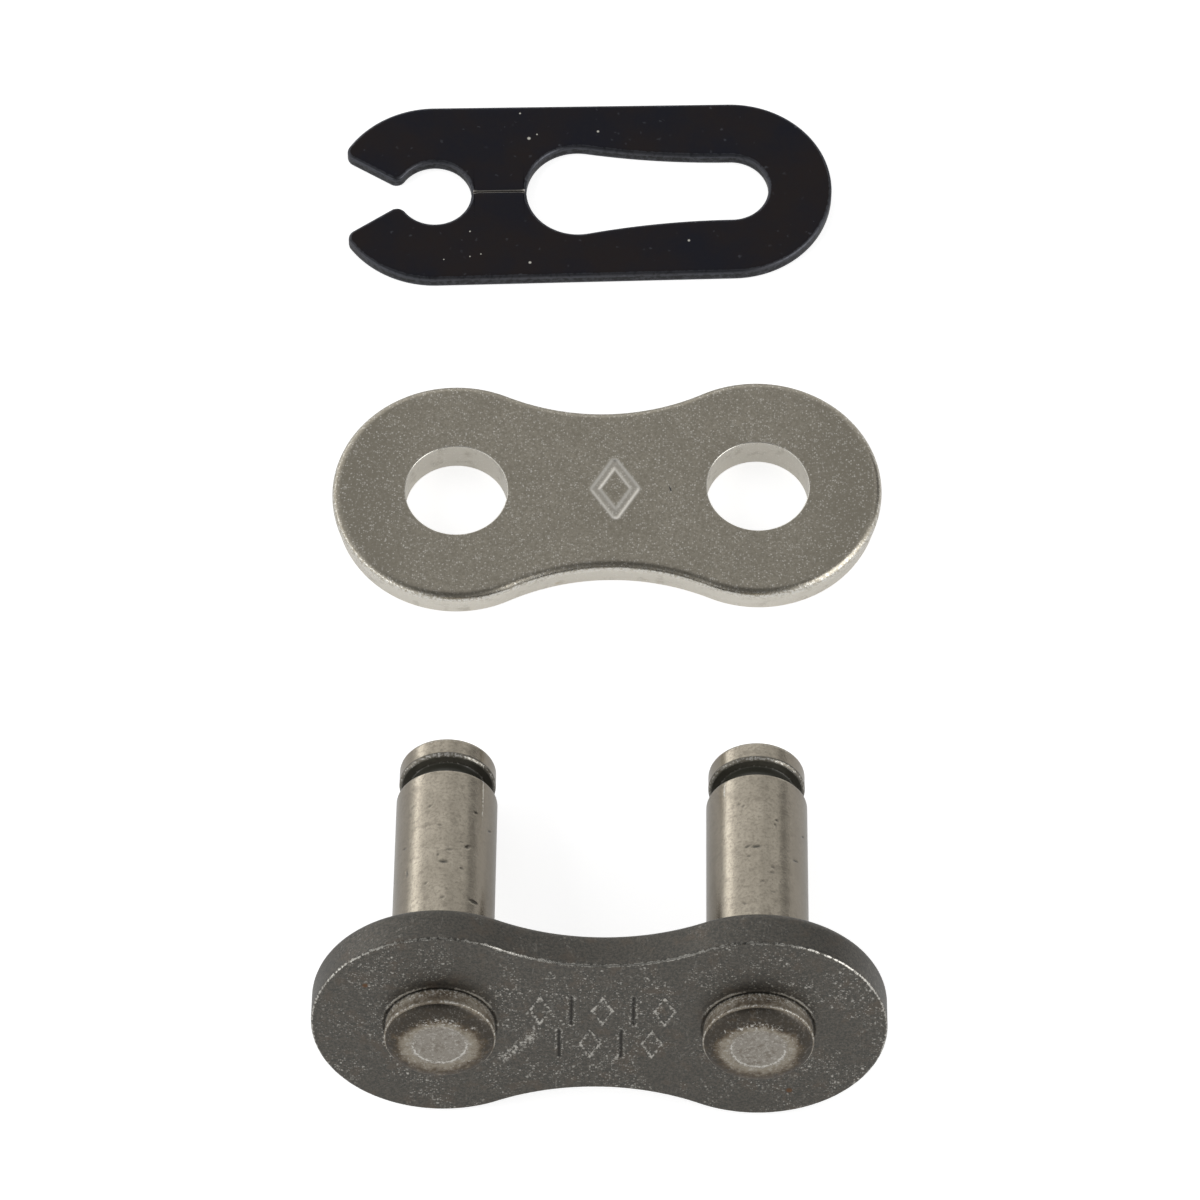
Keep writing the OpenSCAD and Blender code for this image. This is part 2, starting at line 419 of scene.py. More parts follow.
    def spots(self, at: object, places: Array) -> bpy.types.NodeSocket:
        """Small round spots with soft rims.

        Args:
            at: Place in millimetres.
            places: One row for each spot, as x, y, z and radius in the shared frame.

        Returns:
            The share of spot, 1 in the middle of each.
        """
        share: object = 0.0
        for x, y, z, radius in places.tolist():
            gap = self.vector("DISTANCE", at, (x, y, z))
            share = self.math("MAXIMUM", share, self.span(gap, SPOT_CORE * radius, radius, 1.0, 0.0))
        return share

    def carried(self, name: str) -> bpy.types.NodeSocket:
        """Value that the points of a mesh carry."""
        return self.add("Attribute", attribute_type="GEOMETRY", attribute_name=name).outputs["Fac"]


GroupParts = tuple[bpy.types.NodeTree, Graph, bpy.types.Node, bpy.types.Node]


def new_group(name: str, inputs: dict[str, float], outputs: tuple[str, ...]) -> GroupParts:
    """Starts a node group with a Vector input, number inputs and number outputs.

    Args:
        name: Name of the group.
        inputs: Names and usual values of the number inputs.
        outputs: Names of the outputs.

    Returns:
        The group, its graph, and the nodes at its two ends.
    """
    tree = bpy.data.node_groups.new(name, "ShaderNodeTree")
    tree.interface.new_socket("Vector", in_out="INPUT", socket_type="NodeSocketVector")
    for key, value in inputs.items():
        tree.interface.new_socket(key, in_out="INPUT", socket_type="NodeSocketFloat").default_value = value
    for key in outputs:
        tree.interface.new_socket(key, in_out="OUTPUT", socket_type="NodeSocketFloat")
    graph = Graph(tree)
    return tree, graph, graph.add("NodeGroupInput"), graph.add("NodeGroupOutput")


class Effects:
    """Surface effects that several steels share. Each is a node group that is built once."""

    def __init__(self) -> None:
        """Builds the groups."""
        self.grain = self._grain()
        self.scratches = self._scratches()
        self.mottle = self._mottle()
        self.wear = self._wear()

    @staticmethod
    def _grain() -> bpy.types.NodeTree:
        """Fine grain: a height from noise, and light specks where small warped cells draw a high number.

        Each cell has a random number. A cell whose number lies in the top share, Density, is a speck. It is
        lighter the higher its number is, and it fades out round the cell's own point.

        Returns:
            The group, with the outputs Height, Speck and Shade.
        """
        inputs = {"Scale": 9.0, "Density": 0.1}
        warp_scale, warp_reach, shade_scale = 0.7, 1.6, 0.75
        core, shade = (0.12, 0.6), (0.36, 0.64)
        tree, g, start, end = new_group("fine_grain", inputs, ("Height", "Speck", "Shade"))
        at, scale, density = (start.outputs[name] for name in ("Vector", "Scale", "Density"))
        warp = g.add("TexNoise", noise_dimensions="3D", normalize=True)
        g.feed(warp.inputs["Vector"], at)
        g.feed(warp.inputs["Scale"], g.times(scale, warp_scale))
        shift = g.vector("SUBTRACT", warp.outputs["Color"], (0.5, 0.5, 0.5))
        warped = g.vector("ADD", at, g.vector("SCALE", shift, scale=g.math("DIVIDE", warp_reach, scale)))
        cell = g.cells(warped, scale)
        pick = g.add("SeparateColor")
        g.feed(pick.inputs[0], cell.outputs["Color"])
        floor = g.math("SUBTRACT", 1.0, density)
        rank = g.math("DIVIDE", g.math("SUBTRACT", pick.outputs[0], floor), density, clamp=True)
        g.feed(end.inputs["Speck"], g.times(rank, g.span(cell.outputs["Distance"], *core, 1.0, 0.0)))
        g.feed(end.inputs["Height"], g.noise(at, scale, detail=3.0, rough=0.65))
        clouds = g.noise(at, g.times(scale, shade_scale), detail=3.0, rough=0.7)
        g.feed(end.inputs["Shade"], g.span(clouds, *shade))
        return tree

    @staticmethod
    def _scratches() -> bpy.types.NodeTree:
        """Fine scratches: stretched noise, cut to its thin crests and broken up by larger noise.

        Returns:
            The group, with the output Line.
        """
        tree, g, start, end = new_group("fine_scratches", {"Scale": 3.0, "Amount": 0.5}, ("Line",))
        half_width, break_scale = 0.012, 0.45
        at, scale = start.outputs["Vector"], start.outputs["Scale"]
        crest = g.math("ABSOLUTE", g.math("SUBTRACT", g.noise(at, scale, detail=1.0), 0.5))
        thin = g.span(crest, 0.0, half_width, 1.0, 0.0)
        broken = g.noise(at, g.times(scale, break_scale))
        keep = g.math("LESS_THAN", broken, start.outputs["Amount"])
        g.feed(end.inputs["Line"], g.times(thin, keep))
        return tree

    @staticmethod
    def _mottle() -> bpy.types.NodeTree:
        """Soft clouds of two sizes, for stains and uneven colour.

        Returns:
            The group, with the outputs Cloud and Patch.
        """
        tree, g, start, end = new_group("soft_mottle", {"Scale": 0.5}, ("Cloud", "Patch"))
        at, scale = start.outputs["Vector"], start.outputs["Scale"]
        patch_scale, cloud, patch = 2.6, (0.32, 0.68), (0.52, 0.7)
        g.feed(end.inputs["Cloud"], g.span(g.noise(at, scale, detail=4.0, rough=0.55), *cloud))
        small = g.noise(at, g.times(scale, patch_scale), detail=3.0, rough=0.6)
        g.feed(end.inputs["Patch"], g.span(small, *patch))
        return tree

    @staticmethod
    def _wear() -> bpy.types.NodeTree:
        """Edge wear: the share of edge that a mesh carries, broken up by noise so that it chips unevenly.

        The noise is stretched to fill 0 to 1, and wear shows where it lies above 1 less the share of edge.

        Returns:
            The group, with the output Worn.
        """
        tree, g, start, end = new_group("edge_wear", {"Edge": 0.0, "Scale": 6.0, "Soft": 0.3}, ("Worn",))
        edge, soft = start.outputs["Edge"], start.outputs["Soft"]
        full, faint_end = (0.3, 0.7), 0.12
        noise = g.noise(start.outputs["Vector"], start.outputs["Scale"], detail=3.0, rough=0.65)
        noise = g.span(noise, *full)
        above = g.math("SUBTRACT", g.math("ADD", noise, edge), 1.0)
        share = g.math("ADD", g.math("DIVIDE", above, soft), 0.5, clamp=True)
        g.feed(end.inputs["Worn"], g.times(share, g.span(edge, 0.0, faint_end)))
        return tree

    @staticmethod
    def use(g: Graph, tree: bpy.types.NodeTree, at: bpy.types.NodeSocket, **values: object) -> bpy.types.Node:
        """Places a group in a material.

        Args:
            g: The material's graph.
            tree: The group.
            at: Place.
            **values: Values or sockets for the group's inputs.

        Returns:
            The group's node.
        """
        node = g.add("Group", node_tree=tree)
        g.feed(node.inputs["Vector"], at)
        for key, value in values.items():
            g.feed(node.inputs[key], value)
        return node


@dataclass(frozen=True)
class Steel:
    """What every steel finish has: its name, and how it ends in a Principled shader."""

    name: str = "steel"
    bump: float = 0.01

    def start(self) -> tuple[bpy.types.Material, Graph]:
        """Makes the material, and the graph that lays out its nodes."""
        material = bpy.data.materials.new(self.name)
        material.use_nodes = True
        return material, Graph(material.node_tree)

    def finish(self, g: Graph, colour: object, rough: object, height: object) -> bpy.types.Node:
        """Feeds the material's shader.

        Args:
            g: The material's graph.
            colour: Base colour.
            rough: Roughness.
            height: Height between 0 and 1, where 1 stands for the finish's bump in millimetres.

        Returns:
            The Principled node.
        """
        shader = g.tree.nodes["Principled BSDF"]
        shader.inputs["Metallic"].default_value = 1.0
        node = g.add("Bump")
        node.inputs["Strength"].default_value = 1.0
        node.inputs["Distance"].default_value = self.bump * METRES
        g.feed(node.inputs["Height"], height)
        for socket, value in (("Base Color", colour), ("Roughness", rough), ("Normal", node.outputs[0])):
            g.feed(shader.inputs[socket], value)
        return shader


@dataclass(frozen=True)
class PlatedSteel(Steel):
    """Satin nickel plating with a fine sparkling grain, polished where tumbling has worn the edges."""

    name: str = "plated_steel"
    bump: float = 0.009
    face: Colour = (0.49, 0.45, 0.37)
    shade: Colour = (0.34, 0.31, 0.25)
    light: Colour = (0.9, 0.87, 0.8)
    wall: Colour = (0.79, 0.75, 0.665)
    edge: Colour = (0.85, 0.83, 0.77)
    stain: Colour = (0.5, 0.36, 0.16)
    nick: Colour = (0.12, 0.12, 0.12)
    face_rough: float = 0.3
    edge_rough: float = 0.16
    cloudy: float = 0.35
    grainy: float = 0.8
    patchy: float = 0.5
    scratched: float = 0.18
    polished: float = 0.8
    rubbed: float = 0.9
    stained: float = 0.6

    def build(self, effects: Effects, stains: Array, nicks: Array) -> bpy.types.Material:
        """Builds the material.

        Args:
            effects: Shared effects.
            stains: Places and radii of brown stains.
            nicks: Places and radii of dark nicks.

        Returns:
            The material.
        """
        material, g = self.start()
        at = g.place_mm()
        grain = effects.use(g, effects.grain, at, Scale=9.5, Density=0.55)
        clouds = effects.use(g, effects.mottle, at, Scale=0.45)
        brushed = g.place_mm(stretch=(0.35, 2.2, 1.0), turn=35.0)
        scratch = effects.use(g, effects.scratches, brushed, Scale=1.1, Amount=0.42)
        worn = effects.use(g, effects.wear, at, Edge=g.carried("edge"), Scale=7.0, Soft=0.35).outputs["Worn"]
        aged = g.mix(g.times(clouds.outputs["Patch"], self.patchy), self.wall, self.face)
        colour = g.layers(self.face, (
            (g.times(clouds.outputs["Cloud"], self.cloudy), self.shade),
            (g.times(grain.outputs["Shade"], self.grainy), self.shade),
            # On the cover plate this share is painted shade towards its ends.
            (g.carried("stamp"), self.shade),
            (g.carried("wall"), aged),
            (grain.outputs["Speck"], self.light),
            (g.times(scratch.outputs["Line"], self.scratched), self.light),
            (g.times(worn, self.polished), self.edge),
            (g.times(g.carried("wear"), self.rubbed), self.light),
            (g.times(g.spots(at, stains), self.stained), self.stain),
            (g.spots(at, nicks), self.nick)))
        rough = g.span(worn, 0.0, 1.0, self.face_rough, self.edge_rough)
        self.finish(g, colour, rough, grain.outputs["Height"])
        return material


@dataclass(frozen=True)
class DarkPlateSteel(Steel):
    """Heat treated plate steel, dark grey, thickly speckled with fine light pits and worn along its edges."""

    name: str = "dark_plate_steel"
    bump: float = 0.012
    face: Colour = (0.148, 0.136, 0.118)
    cold: Colour = (0.078, 0.079, 0.074)
    warm: Colour = (0.15, 0.124, 0.1)
    speck: Colour = (0.6, 0.58, 0.53)
    worn: Colour = (0.62, 0.6, 0.55)
    # Colour of the dark grooves, also used for painted shade beside the diamonds and in the rings.
    groove: Colour = (0.03, 0.029, 0.027)
    rust: Colour = (0.16, 0.07, 0.025)
    face_rough: float = 0.42
    edge_rough: float = 0.25
    grainy: float = 0.75
    patchy: float = 0.5
    fine_specks: float = 0.68
    coarse_specks: float = 0.8
    plenty: tuple[Pair, Pair] = ((0.25, 0.75), (0.15, 1.2))
    bare_walls: float = 0.7
    scratched: float = 0.12
    rubbed: float = 0.85
    rusted: float = 0.7

    def build(self, effects: Effects, rust: Array) -> bpy.types.Material:
        """Builds the material. Specks crowd in clouds, and the plate's walls keep few of them.

        Args:
            effects: Shared effects.
            rust: Places and radii of rust spots.

        Returns:
            The material.
        """
        material, g = self.start()
        at = g.place_mm()
        fine = effects.use(g, effects.grain, at, Scale=10.0, Density=0.4)
        coarse = effects.use(g, effects.grain, at, Scale=6.0, Density=0.16)
        clouds = effects.use(g, effects.mottle, at, Scale=0.4)
        brushed = g.place_mm(stretch=(1.6, 0.5, 0.5))
        scratch = effects.use(g, effects.scratches, brushed, Scale=1.3, Amount=0.4)
        worn = effects.use(g, effects.wear, at, Edge=g.carried("edge"), Scale=6.0, Soft=0.45).outputs["Worn"]
        rubbed = effects.use(g, effects.wear, at, Edge=g.carried("wear"), Scale=7.0, Soft=0.5).outputs["Worn"]
        where, amount = self.plenty
        plenty = g.span(clouds.outputs["Cloud"], *where, *amount)
        bare = g.math("SUBTRACT", 1.0, g.times(g.carried("wall"), self.bare_walls))
        specks = g.math("ADD", g.times(fine.outputs["Speck"], self.fine_specks),
                        g.times(coarse.outputs["Speck"], self.coarse_specks), clamp=True)
        colour = g.layers(self.face, (
            (g.times(fine.outputs["Shade"], self.grainy), self.cold),
            (g.times(clouds.outputs["Patch"], self.patchy), self.warm),
            (g.times(g.times(specks, plenty), bare), self.speck),
            (g.times(scratch.outputs["Line"], self.scratched), self.speck),
            # The stamp share is the dark grooves with painted shade; the rubbed wear below includes painted
            # highlights.
            (g.times(g.carried("stamp"), self.rubbed), self.groove),
            (g.times(rubbed, self.rubbed), self.speck),
            (g.times(worn, self.rubbed), self.worn),
            (g.times(g.spots(at, rust), self.rusted), self.rust)))
        rough = g.span(worn, 0.0, 1.0, self.face_rough, self.edge_rough)
        self.finish(g, colour, rough, fine.outputs["Height"])
        return material


@dataclass(frozen=True)
class PinSteel(Steel):
    """Ground pin steel, pale warm grey with stains, and the dark skin of the riveted heads."""

    name: str = "pin_steel"
    bump: float = 0.004
    bright: Colour = (0.54, 0.487, 0.395)
    dull: Colour = (0.385, 0.344, 0.276)
    # The stain colour is also the colour of the painted shade down the pin's sides.
    stain: Colour = (0.245, 0.216, 0.175)
    flat: Colour = (0.325, 0.3, 0.262)
    beige: Colour = (0.33, 0.293, 0.235)
    brown: Colour = (0.13, 0.1, 0.068)
    skin: Colour = (0.075, 0.066, 0.055)
    dirt: Colour = (0.042, 0.041, 0.032)
    worn: Colour = (0.66, 0.64, 0.59)
    ground_rough: float = 0.2
    skin_rough: float = 0.42
    matt_metallic: float = 0.15
    cloudy: float = 0.6
    drawn: float = 0.35
    patchy: float = 0.5
    finely_patchy: float = 0.45
    grainy: float = 0.3
    scratched: float = 0.12
    rubbed: float = 0.36
    sunk: float = 0.4
    lumpy: float = 1.2
    tilt: float = 14.36103

    def ground(self, g: Graph, effects: Effects, at: bpy.types.NodeSocket, grain: bpy.types.Node) -> object:
        """Colour of the ground length: clouds and patches of stain, faint marks drawn round the pin, and
        painted shade down its sides.

        Args:
            g: The material's graph.
            effects: Shared effects.
            at: Place in millimetres.
            grain: The grain's node.

        Returns:
            The colour's socket.
        """
        clouds = effects.use(g, effects.mottle, at, Scale=0.75)
        fine = effects.use(g, effects.mottle, at, Scale=2.6)
        brushed = g.place_mm(stretch=(0.5, 4.0, 0.5), tilt=self.tilt)
        scratch = effects.use(g, effects.scratches, brushed, Scale=1.2, Amount=0.5)
        along = g.place_mm(stretch=(1.0, 0.12, 1.0), tilt=self.tilt)
        drawn = g.span(g.noise(along, 2.6, detail=3.0, rough=0.6), 0.35, 0.65)
        return g.layers(self.bright, (
            (g.times(clouds.outputs["Cloud"], self.cloudy), self.dull),
            (g.times(drawn, self.drawn), self.dull),
            (g.times(clouds.outputs["Patch"], self.patchy), self.stain),
            (g.times(fine.outputs["Patch"], self.finely_patchy), self.stain),
            (g.times(grain.outputs["Shade"], self.grainy), self.stain),
            # Painted shade down the pin's sides, carried as dull, in the stain colour.
            (g.carried("dull"), self.stain),
            (g.times(scratch.outputs["Line"], self.scratched), self.stain)))

    def build(self, effects: Effects) -> bpy.types.Material:
        """Builds the material.

        The mesh carries how far a point is forged, with painted shade and light on the head. Noise makes
        that uneven, and from 0 to 1 it leads through bare flat, beige, brown and dark skin. The palest parts
        of the head are rubbed and pitted.

        Args:
            effects: Shared effects.

        Returns:
            The material.
        """
        material, g = self.start()
        at = g.place_mm()
        grain = effects.use(g, effects.grain, at, Scale=9.0, Density=0.3)
        ground = self.ground(g, effects, at, grain)
        worn = effects.use(g, effects.wear, at, Edge=g.carried("edge"), Scale=8.5, Soft=0.5).outputs["Worn"]
        # The forged share also holds painted shade and painted light on the head and its band.
        forge = g.carried("forge")
        uneven = g.math("SUBTRACT", g.noise(at, 2.4, detail=5.0, rough=0.7), 0.5)
        forged = g.math("ADD", forge, g.times(uneven, forge), clamp=True)
        pale = g.times(g.span(forge, 0.0, 0.2), g.span(forged, 0.5, 0.85, 1.0, 0.2))
        rubbed = g.span(g.noise(at, 5.5, detail=3.0, rough=0.7), 0.5, 0.66, 0.0, self.rubbed)
        sunk = g.span(g.noise(at, 3.4, detail=3.0, rough=0.7), 0.5, 0.36, 0.0, self.sunk)
        lit = g.times(grain.outputs["Speck"], g.span(forged, 0.0, 0.3, 0.1, 0.5))
        lit = g.times(lit, g.span(forged, 0.55, 0.9, 1.0, 0.5))
        colour = g.layers(ground, (
            (g.span(forged, 0.0, 0.25), self.flat),
            (g.span(forged, 0.22, 0.52), self.beige),
            (g.span(forged, 0.48, 0.82), self.brown),
            (g.span(forged, 0.66, 1.0), self.skin),
            (g.times(rubbed, pale), self.worn),
            (g.times(sunk, pale), self.brown),
            (lit, self.worn),
            # This share darkens the clip's groove and the nicks, and is painted contact shadow at each head's
            # foot.
            (g.carried("dirt"), self.dirt),
            # The worn share includes painted highlights on the flat's lower rim and along the pin.
            (worn, self.worn)))
        rough = g.span(forged, 0.0, 0.9, self.ground_rough, self.skin_rough)
        lumps = g.math("ADD", grain.outputs["Height"], g.times(g.noise(at, 1.1), self.lumpy))
        shader = self.finish(g, colour, rough, lumps)
        matt = g.math("MAXIMUM", g.carried("matt"), g.carried("dirt"))
        g.feed(shader.inputs["Metallic"], g.span(matt, 0.0, 1.0, 1.0, self.matt_metallic))
        return material


@dataclass(frozen=True)
class BluedSteel(Steel):
    """Near black blued spring steel, faintly blue and brown, with light specks where its edges have worn and
    a painted glint along the slit.
    """

    name: str = "blued_spring_steel"
    bump: float = 0.003
    blue: Colour = (0.027, 0.0275, 0.037)
    brown: Colour = (0.037, 0.03, 0.03)
    wall: Colour = (0.034, 0.034, 0.036)
    worn: Colour = (0.2, 0.21, 0.24)
    # Colour of the painted glint along the slit.
    slit: Colour = (0.5, 0.47, 0.42)
    bare: Colour = (0.85, 0.83, 0.74)
    rough: Pair = (0.36, 0.44)
    grainy: float = 0.25
    rubbed: float = 0.3
    specked: float = 0.35

    def build(self, effects: Effects, specks: Array) -> bpy.types.Material:
        """Builds the material.

        Args:
            effects: Shared effects.
            specks: Places and radii of the bare specks.

        Returns:
            The material.
        """
        material, g = self.start()
        at = g.place_mm()
        grain = effects.use(g, effects.grain, at, Scale=5.0, Density=0.03)
        cloud = effects.use(g, effects.mottle, at, Scale=0.3).outputs["Cloud"]
        worn = effects.use(g, effects.wear, at, Edge=g.carried("edge"), Scale=4.0, Soft=0.8).outputs["Worn"]
        colour = g.layers(self.blue, (
            (cloud, self.brown),
            (g.times(grain.outputs["Shade"], self.grainy), self.wall),
            (g.carried("wall"), self.wall),
            (g.times(worn, self.rubbed), self.worn),
            (g.times(grain.outputs["Speck"], self.specked), self.worn),
            # Painted glint along the slit.
            (g.carried("slit"), self.slit),
            (g.spots(at, specks), self.bare)))
        self.finish(g, colour, g.span(cloud, 0.0, 1.0, *self.rough), grain.outputs["Height"])
        return material


# The parts of the set.


@dataclass
class EightPlate:
    """Link plate in the form of an eight, worked out as two mirrored halves about X = 0.

    The depth runs from the face that shows, at 0, to the hidden face, at the thickness. Each half is a
    fan of columns about its hole. A column runs from the hole's rim to the outline, or to the middle line
    X = 0, and the edge is a strip of sections swept along the outline.

    show_polish is the wear of the shown edge's rounding, strongest at the share polish_at of its way down
    from the face. The waist gains waist_polish of it, and bore_polish is the depth of the bore's worn rim.
    """

    pitch: float = 15.875
    end_r: float = 6.54
    waist: float = 4.76
    thick: float = 2.2
    show_round: float = 0.45
    hidden_round: float = 0.6
    hidden_inset: float = 0.18
    bore: tuple[Pair, ...] = ()
    show_polish: float = 0.6
    polish_at: float = 0.8
    polish_half: float = 0.28
    polish_start: float = 0.3
    waist_polish: float = 0.0
    bore_polish: float = 0.06
    middle_step: float = 0.45
    face_rows: int = 95
    back_rows: int = 10
    lobe_columns: int = 168
    waist_columns: int = 26

    def outline(self, inset: float) -> tuple[Array, Array, Array]:
        """Outline of the right half, from the top of the middle line clockwise to its bottom.

        The waist is an arc whose centre lies on the middle line and which touches the end's circle.

        Args:
            inset: How far the points lie inside the outline.

        Returns:
            Points, outward normals, and for each point whether it is on the waist.
        """
        half = self.pitch / 2
        waist_r = (half**2 + self.waist**2 - self.end_r**2) / (2 * (self.end_r - self.waist))
        rise = self.waist + waist_r
        sweep = math.atan2(half, rise)
        b = np.linspace(0.0, sweep, self.waist_columns)
        touch = math.pi / 2 + sweep
        a = np.linspace(touch, -touch, self.lobe_columns)[1:-1]
        normal = np.stack([-np.sin(b), np.cos(b)], -1)
        top = np.stack([waist_r * np.sin(b), rise - waist_r * np.cos(b)], -1)
        lobe_normal = np.stack([np.cos(a), np.sin(a)], -1)
        lobe = np.array([half, 0.0]) + self.end_r * lobe_normal
        flip = np.array([1.0, -1.0])
        points = np.concatenate([top, lobe, top[::-1] * flip])
        normals = np.concatenate([normal, lobe_normal, normal[::-1] * flip])
        on_waist = np.concatenate([np.ones(len(b)), np.zeros(len(a)), np.ones(len(b))])
        return points - inset * normals, normals, on_waist

    def middle(self, inset: float) -> Array:
        """Points on the middle line from bottom to top, at equal steps of the angle seen from the hole."""
        half = self.pitch / 2
        reach = math.atan2(self.waist - self.show_round, half)
        steps = int(math.degrees(2 * reach) / self.middle_step)
        angle = np.linspace(-reach, reach, steps + 1)[1:-1]
        y = half * np.tan(angle) * (self.waist - inset) / (self.waist - self.show_round)
        return np.stack([np.zeros_like(y), y], -1)

    def relief(self, x: Array, y: Array) -> tuple[Array, Array, Array]:
        """Relief of the shown face. A plain plate has none.

        Args:
            x: First coordinate of the face's points.
            y: Second coordinate of the face's points.

        Returns:
            Height, the share of dark groove and of painted shade, and the share of bare wear with any painted
            highlights.
        """
        return np.zeros_like(x), np.zeros_like(x), np.zeros_like(x)

    def edge_section(self) -> tuple[Array, Array, Array, Array]:
        """Section of the edge, from the shown face round to the hidden face.

        Returns:
            Insets, depths, and the shares of polish and of wall at each point.
        """
        show = arc((self.show_round, self.show_round), self.show_round, 270, 180, 10)
        low = self.hidden_inset + self.hidden_round
        hidden = arc((low, self.thick - self.hidden_round), self.hidden_round, 180, 90, 8)
        wall_t = np.linspace(0.0, 1.0, 9)[1:-1]
        depth = self.show_round + (self.thick - self.hidden_round - self.show_round) * wall_t
        wall = np.stack([self.hidden_inset * smooth(wall_t), depth], -1)
        section = np.concatenate([show, wall, hidden])
        from_face = np.linspace(0.0, 1.0, len(show))
        crest = self.show_polish * hump(from_face, self.polish_at, self.polish_half)
        rest = len(section) - len(show)
        polish = np.concatenate([crest * smooth(from_face / self.polish_start), np.zeros(rest)])
        side = np.concatenate([from_face**4, np.ones(rest)])
        return section[:, 0], section[:, 1], polish, side

    def build(self, name: str, place: Place, flip_depth: bool) -> bpy.types.Object:
        """Builds the plate.

        Args:
            name: Name of the piece.
            place: Where the plate lies.
            flip_depth: Whether the shown face is the plate's upper one.

        Returns:
            The plate's object.
        """
        surface = Surface(("edge", "stamp", "wall", "wear"))
        bore = np.array(self.bore)
        centre = np.array([self.pitch / 2, 0.0])
        low = self.hidden_inset + self.hidden_round
        shown_line, hidden_line = (np.concatenate([self.outline(inset)[0], self.middle(inset)])
                                   for inset in (self.show_round, low))
        ray = shown_line - centre
        ray /= np.linalg.norm(ray, axis=1)[:, None]
        face = between(centre + bore[0, 0] * ray, shown_line, self.face_rows)
        back = between(centre + bore[-1, 0] * ray, hidden_line, self.back_rows)
        hole = centre + bore[:, :1, None] * ray
        lip = np.exp(-bore[:, 1:] / self.bore_polish)
        outer, normals, on_waist = self.outline(0.0)
        inset, depth, polish, wall = self.edge_section()
        strip = outer - inset[:, None, None] * normals
        worn = polish[:, None] * (1.0 + self.waist_polish * on_waist)
        for side in (1.0, -1.0):
            mirror = np.array([side, 1.0])
            height, stamp, wear = self.relief(face[..., 0] * side, face[..., 1])
            surface.add(self.stack(face * mirror, -height, flip_depth), True, stamp=stamp, wear=wear)
            surface.add(self.stack(back * mirror, self.thick, flip_depth), True)
            surface.add(self.stack(hole * mirror, bore[:, 1:], flip_depth), True, edge=lip, wall=1.0)
            surface.add(self.stack(strip * mirror, depth[:, None], flip_depth), edge=worn, wall=wall[:, None])
        return surface.make(name, place)

    def stack(self, points: Array, depth: Array | float, flip_depth: bool) -> Array:
        """Gives flat points their height. A flipped depth counts down from the thickness."""
        z = self.thick - depth if flip_depth else depth
        return np.concatenate([points, np.broadcast_to(z, points.shape[:-1])[..., None]], -1)


def diamond(x: float, y: float, wide: float, tall: float) -> Array:
    """Four strokes round a diamond with a middle and two half sizes, as x0, y0, x1, y1."""
    tips = np.array([[x + wide, y], [x, y + tall], [x - wide, y], [x, y - tall]])
    return np.concatenate([tips, np.roll(tips, -1, axis=0)], 1)


def stamped(distance: Array, half_width: float, depth: float, lip: float) -> tuple[Array, Array]:
    """Section of a stamped groove: a flat floor, sloping sides and a low raised lip outside.

    The floor takes 35 % of the width, and the lip's crest stands as far outside the groove's side.

    Args:
        distance: Distance from the groove's centre line.
        half_width: Half of the groove's width.
        depth: Depth of the floor.
        lip: Height of the lip.

    Returns:
        Height, and the share of groove.
    """
    flat = 0.35
    inside = 1.0 - ramp(distance, flat * half_width, (1 - flat) * half_width)
    outside = hump(distance, (1 + flat) * half_width, flat * half_width)
    return lip * outside * (1 - inside) - depth * inside, inside


@dataclass
class CoverPlate(EightPlate):
    """Plated cover plate with a small stamped diamond in the middle of its upper face, and painted shade
    towards its ends.
    """

    mark_centre: Pair = (0.42, -0.05)
    mark_half: Pair = (1.05, 1.6)
    groove_half: float = 0.21
    groove_depth: float = 0.05
    groove_lip: float = 0.01
    rubbed_half: float = 0.075
    floor_bare: float = 0.4
    # Painted shade towards the ends of the face.
    ends_painted_shade: float = 0.7
    ends_from: float = 9.0
    ends_fade: float = 4.0

    def relief(self, x: Array, y: Array) -> tuple[Array, Array, Array]:
        """Stamped diamond with rubbed rims. Towards its ends the face gets painted shade by a smooth step of
        |x|.

        Args:
            x: First coordinate of the face's points.
            y: Second coordinate of the face's points.

        Returns:
            Height, the share of painted shade, and the share of bare wear.
        """
        (cx, cy), (hx, hy) = self.mark_centre, self.mark_half
        height, wear = np.zeros_like(x), np.zeros_like(x)
        near = (np.abs(x - cx) < hx + 1) & (np.abs(y - cy) < hy + 1)
        distance = stroke_distance(x[near], y[near], diamond(cx, cy, hx, hy))
        height[near], groove = stamped(distance, self.groove_half, self.groove_depth, self.groove_lip)
        wear[near] = hump(distance, self.groove_half, self.rubbed_half) + self.floor_bare * groove
        # The second value is painted shade towards the ends.
        return height, self.ends_painted_shade * ramp(np.abs(x), self.ends_from, self.ends_fade), wear


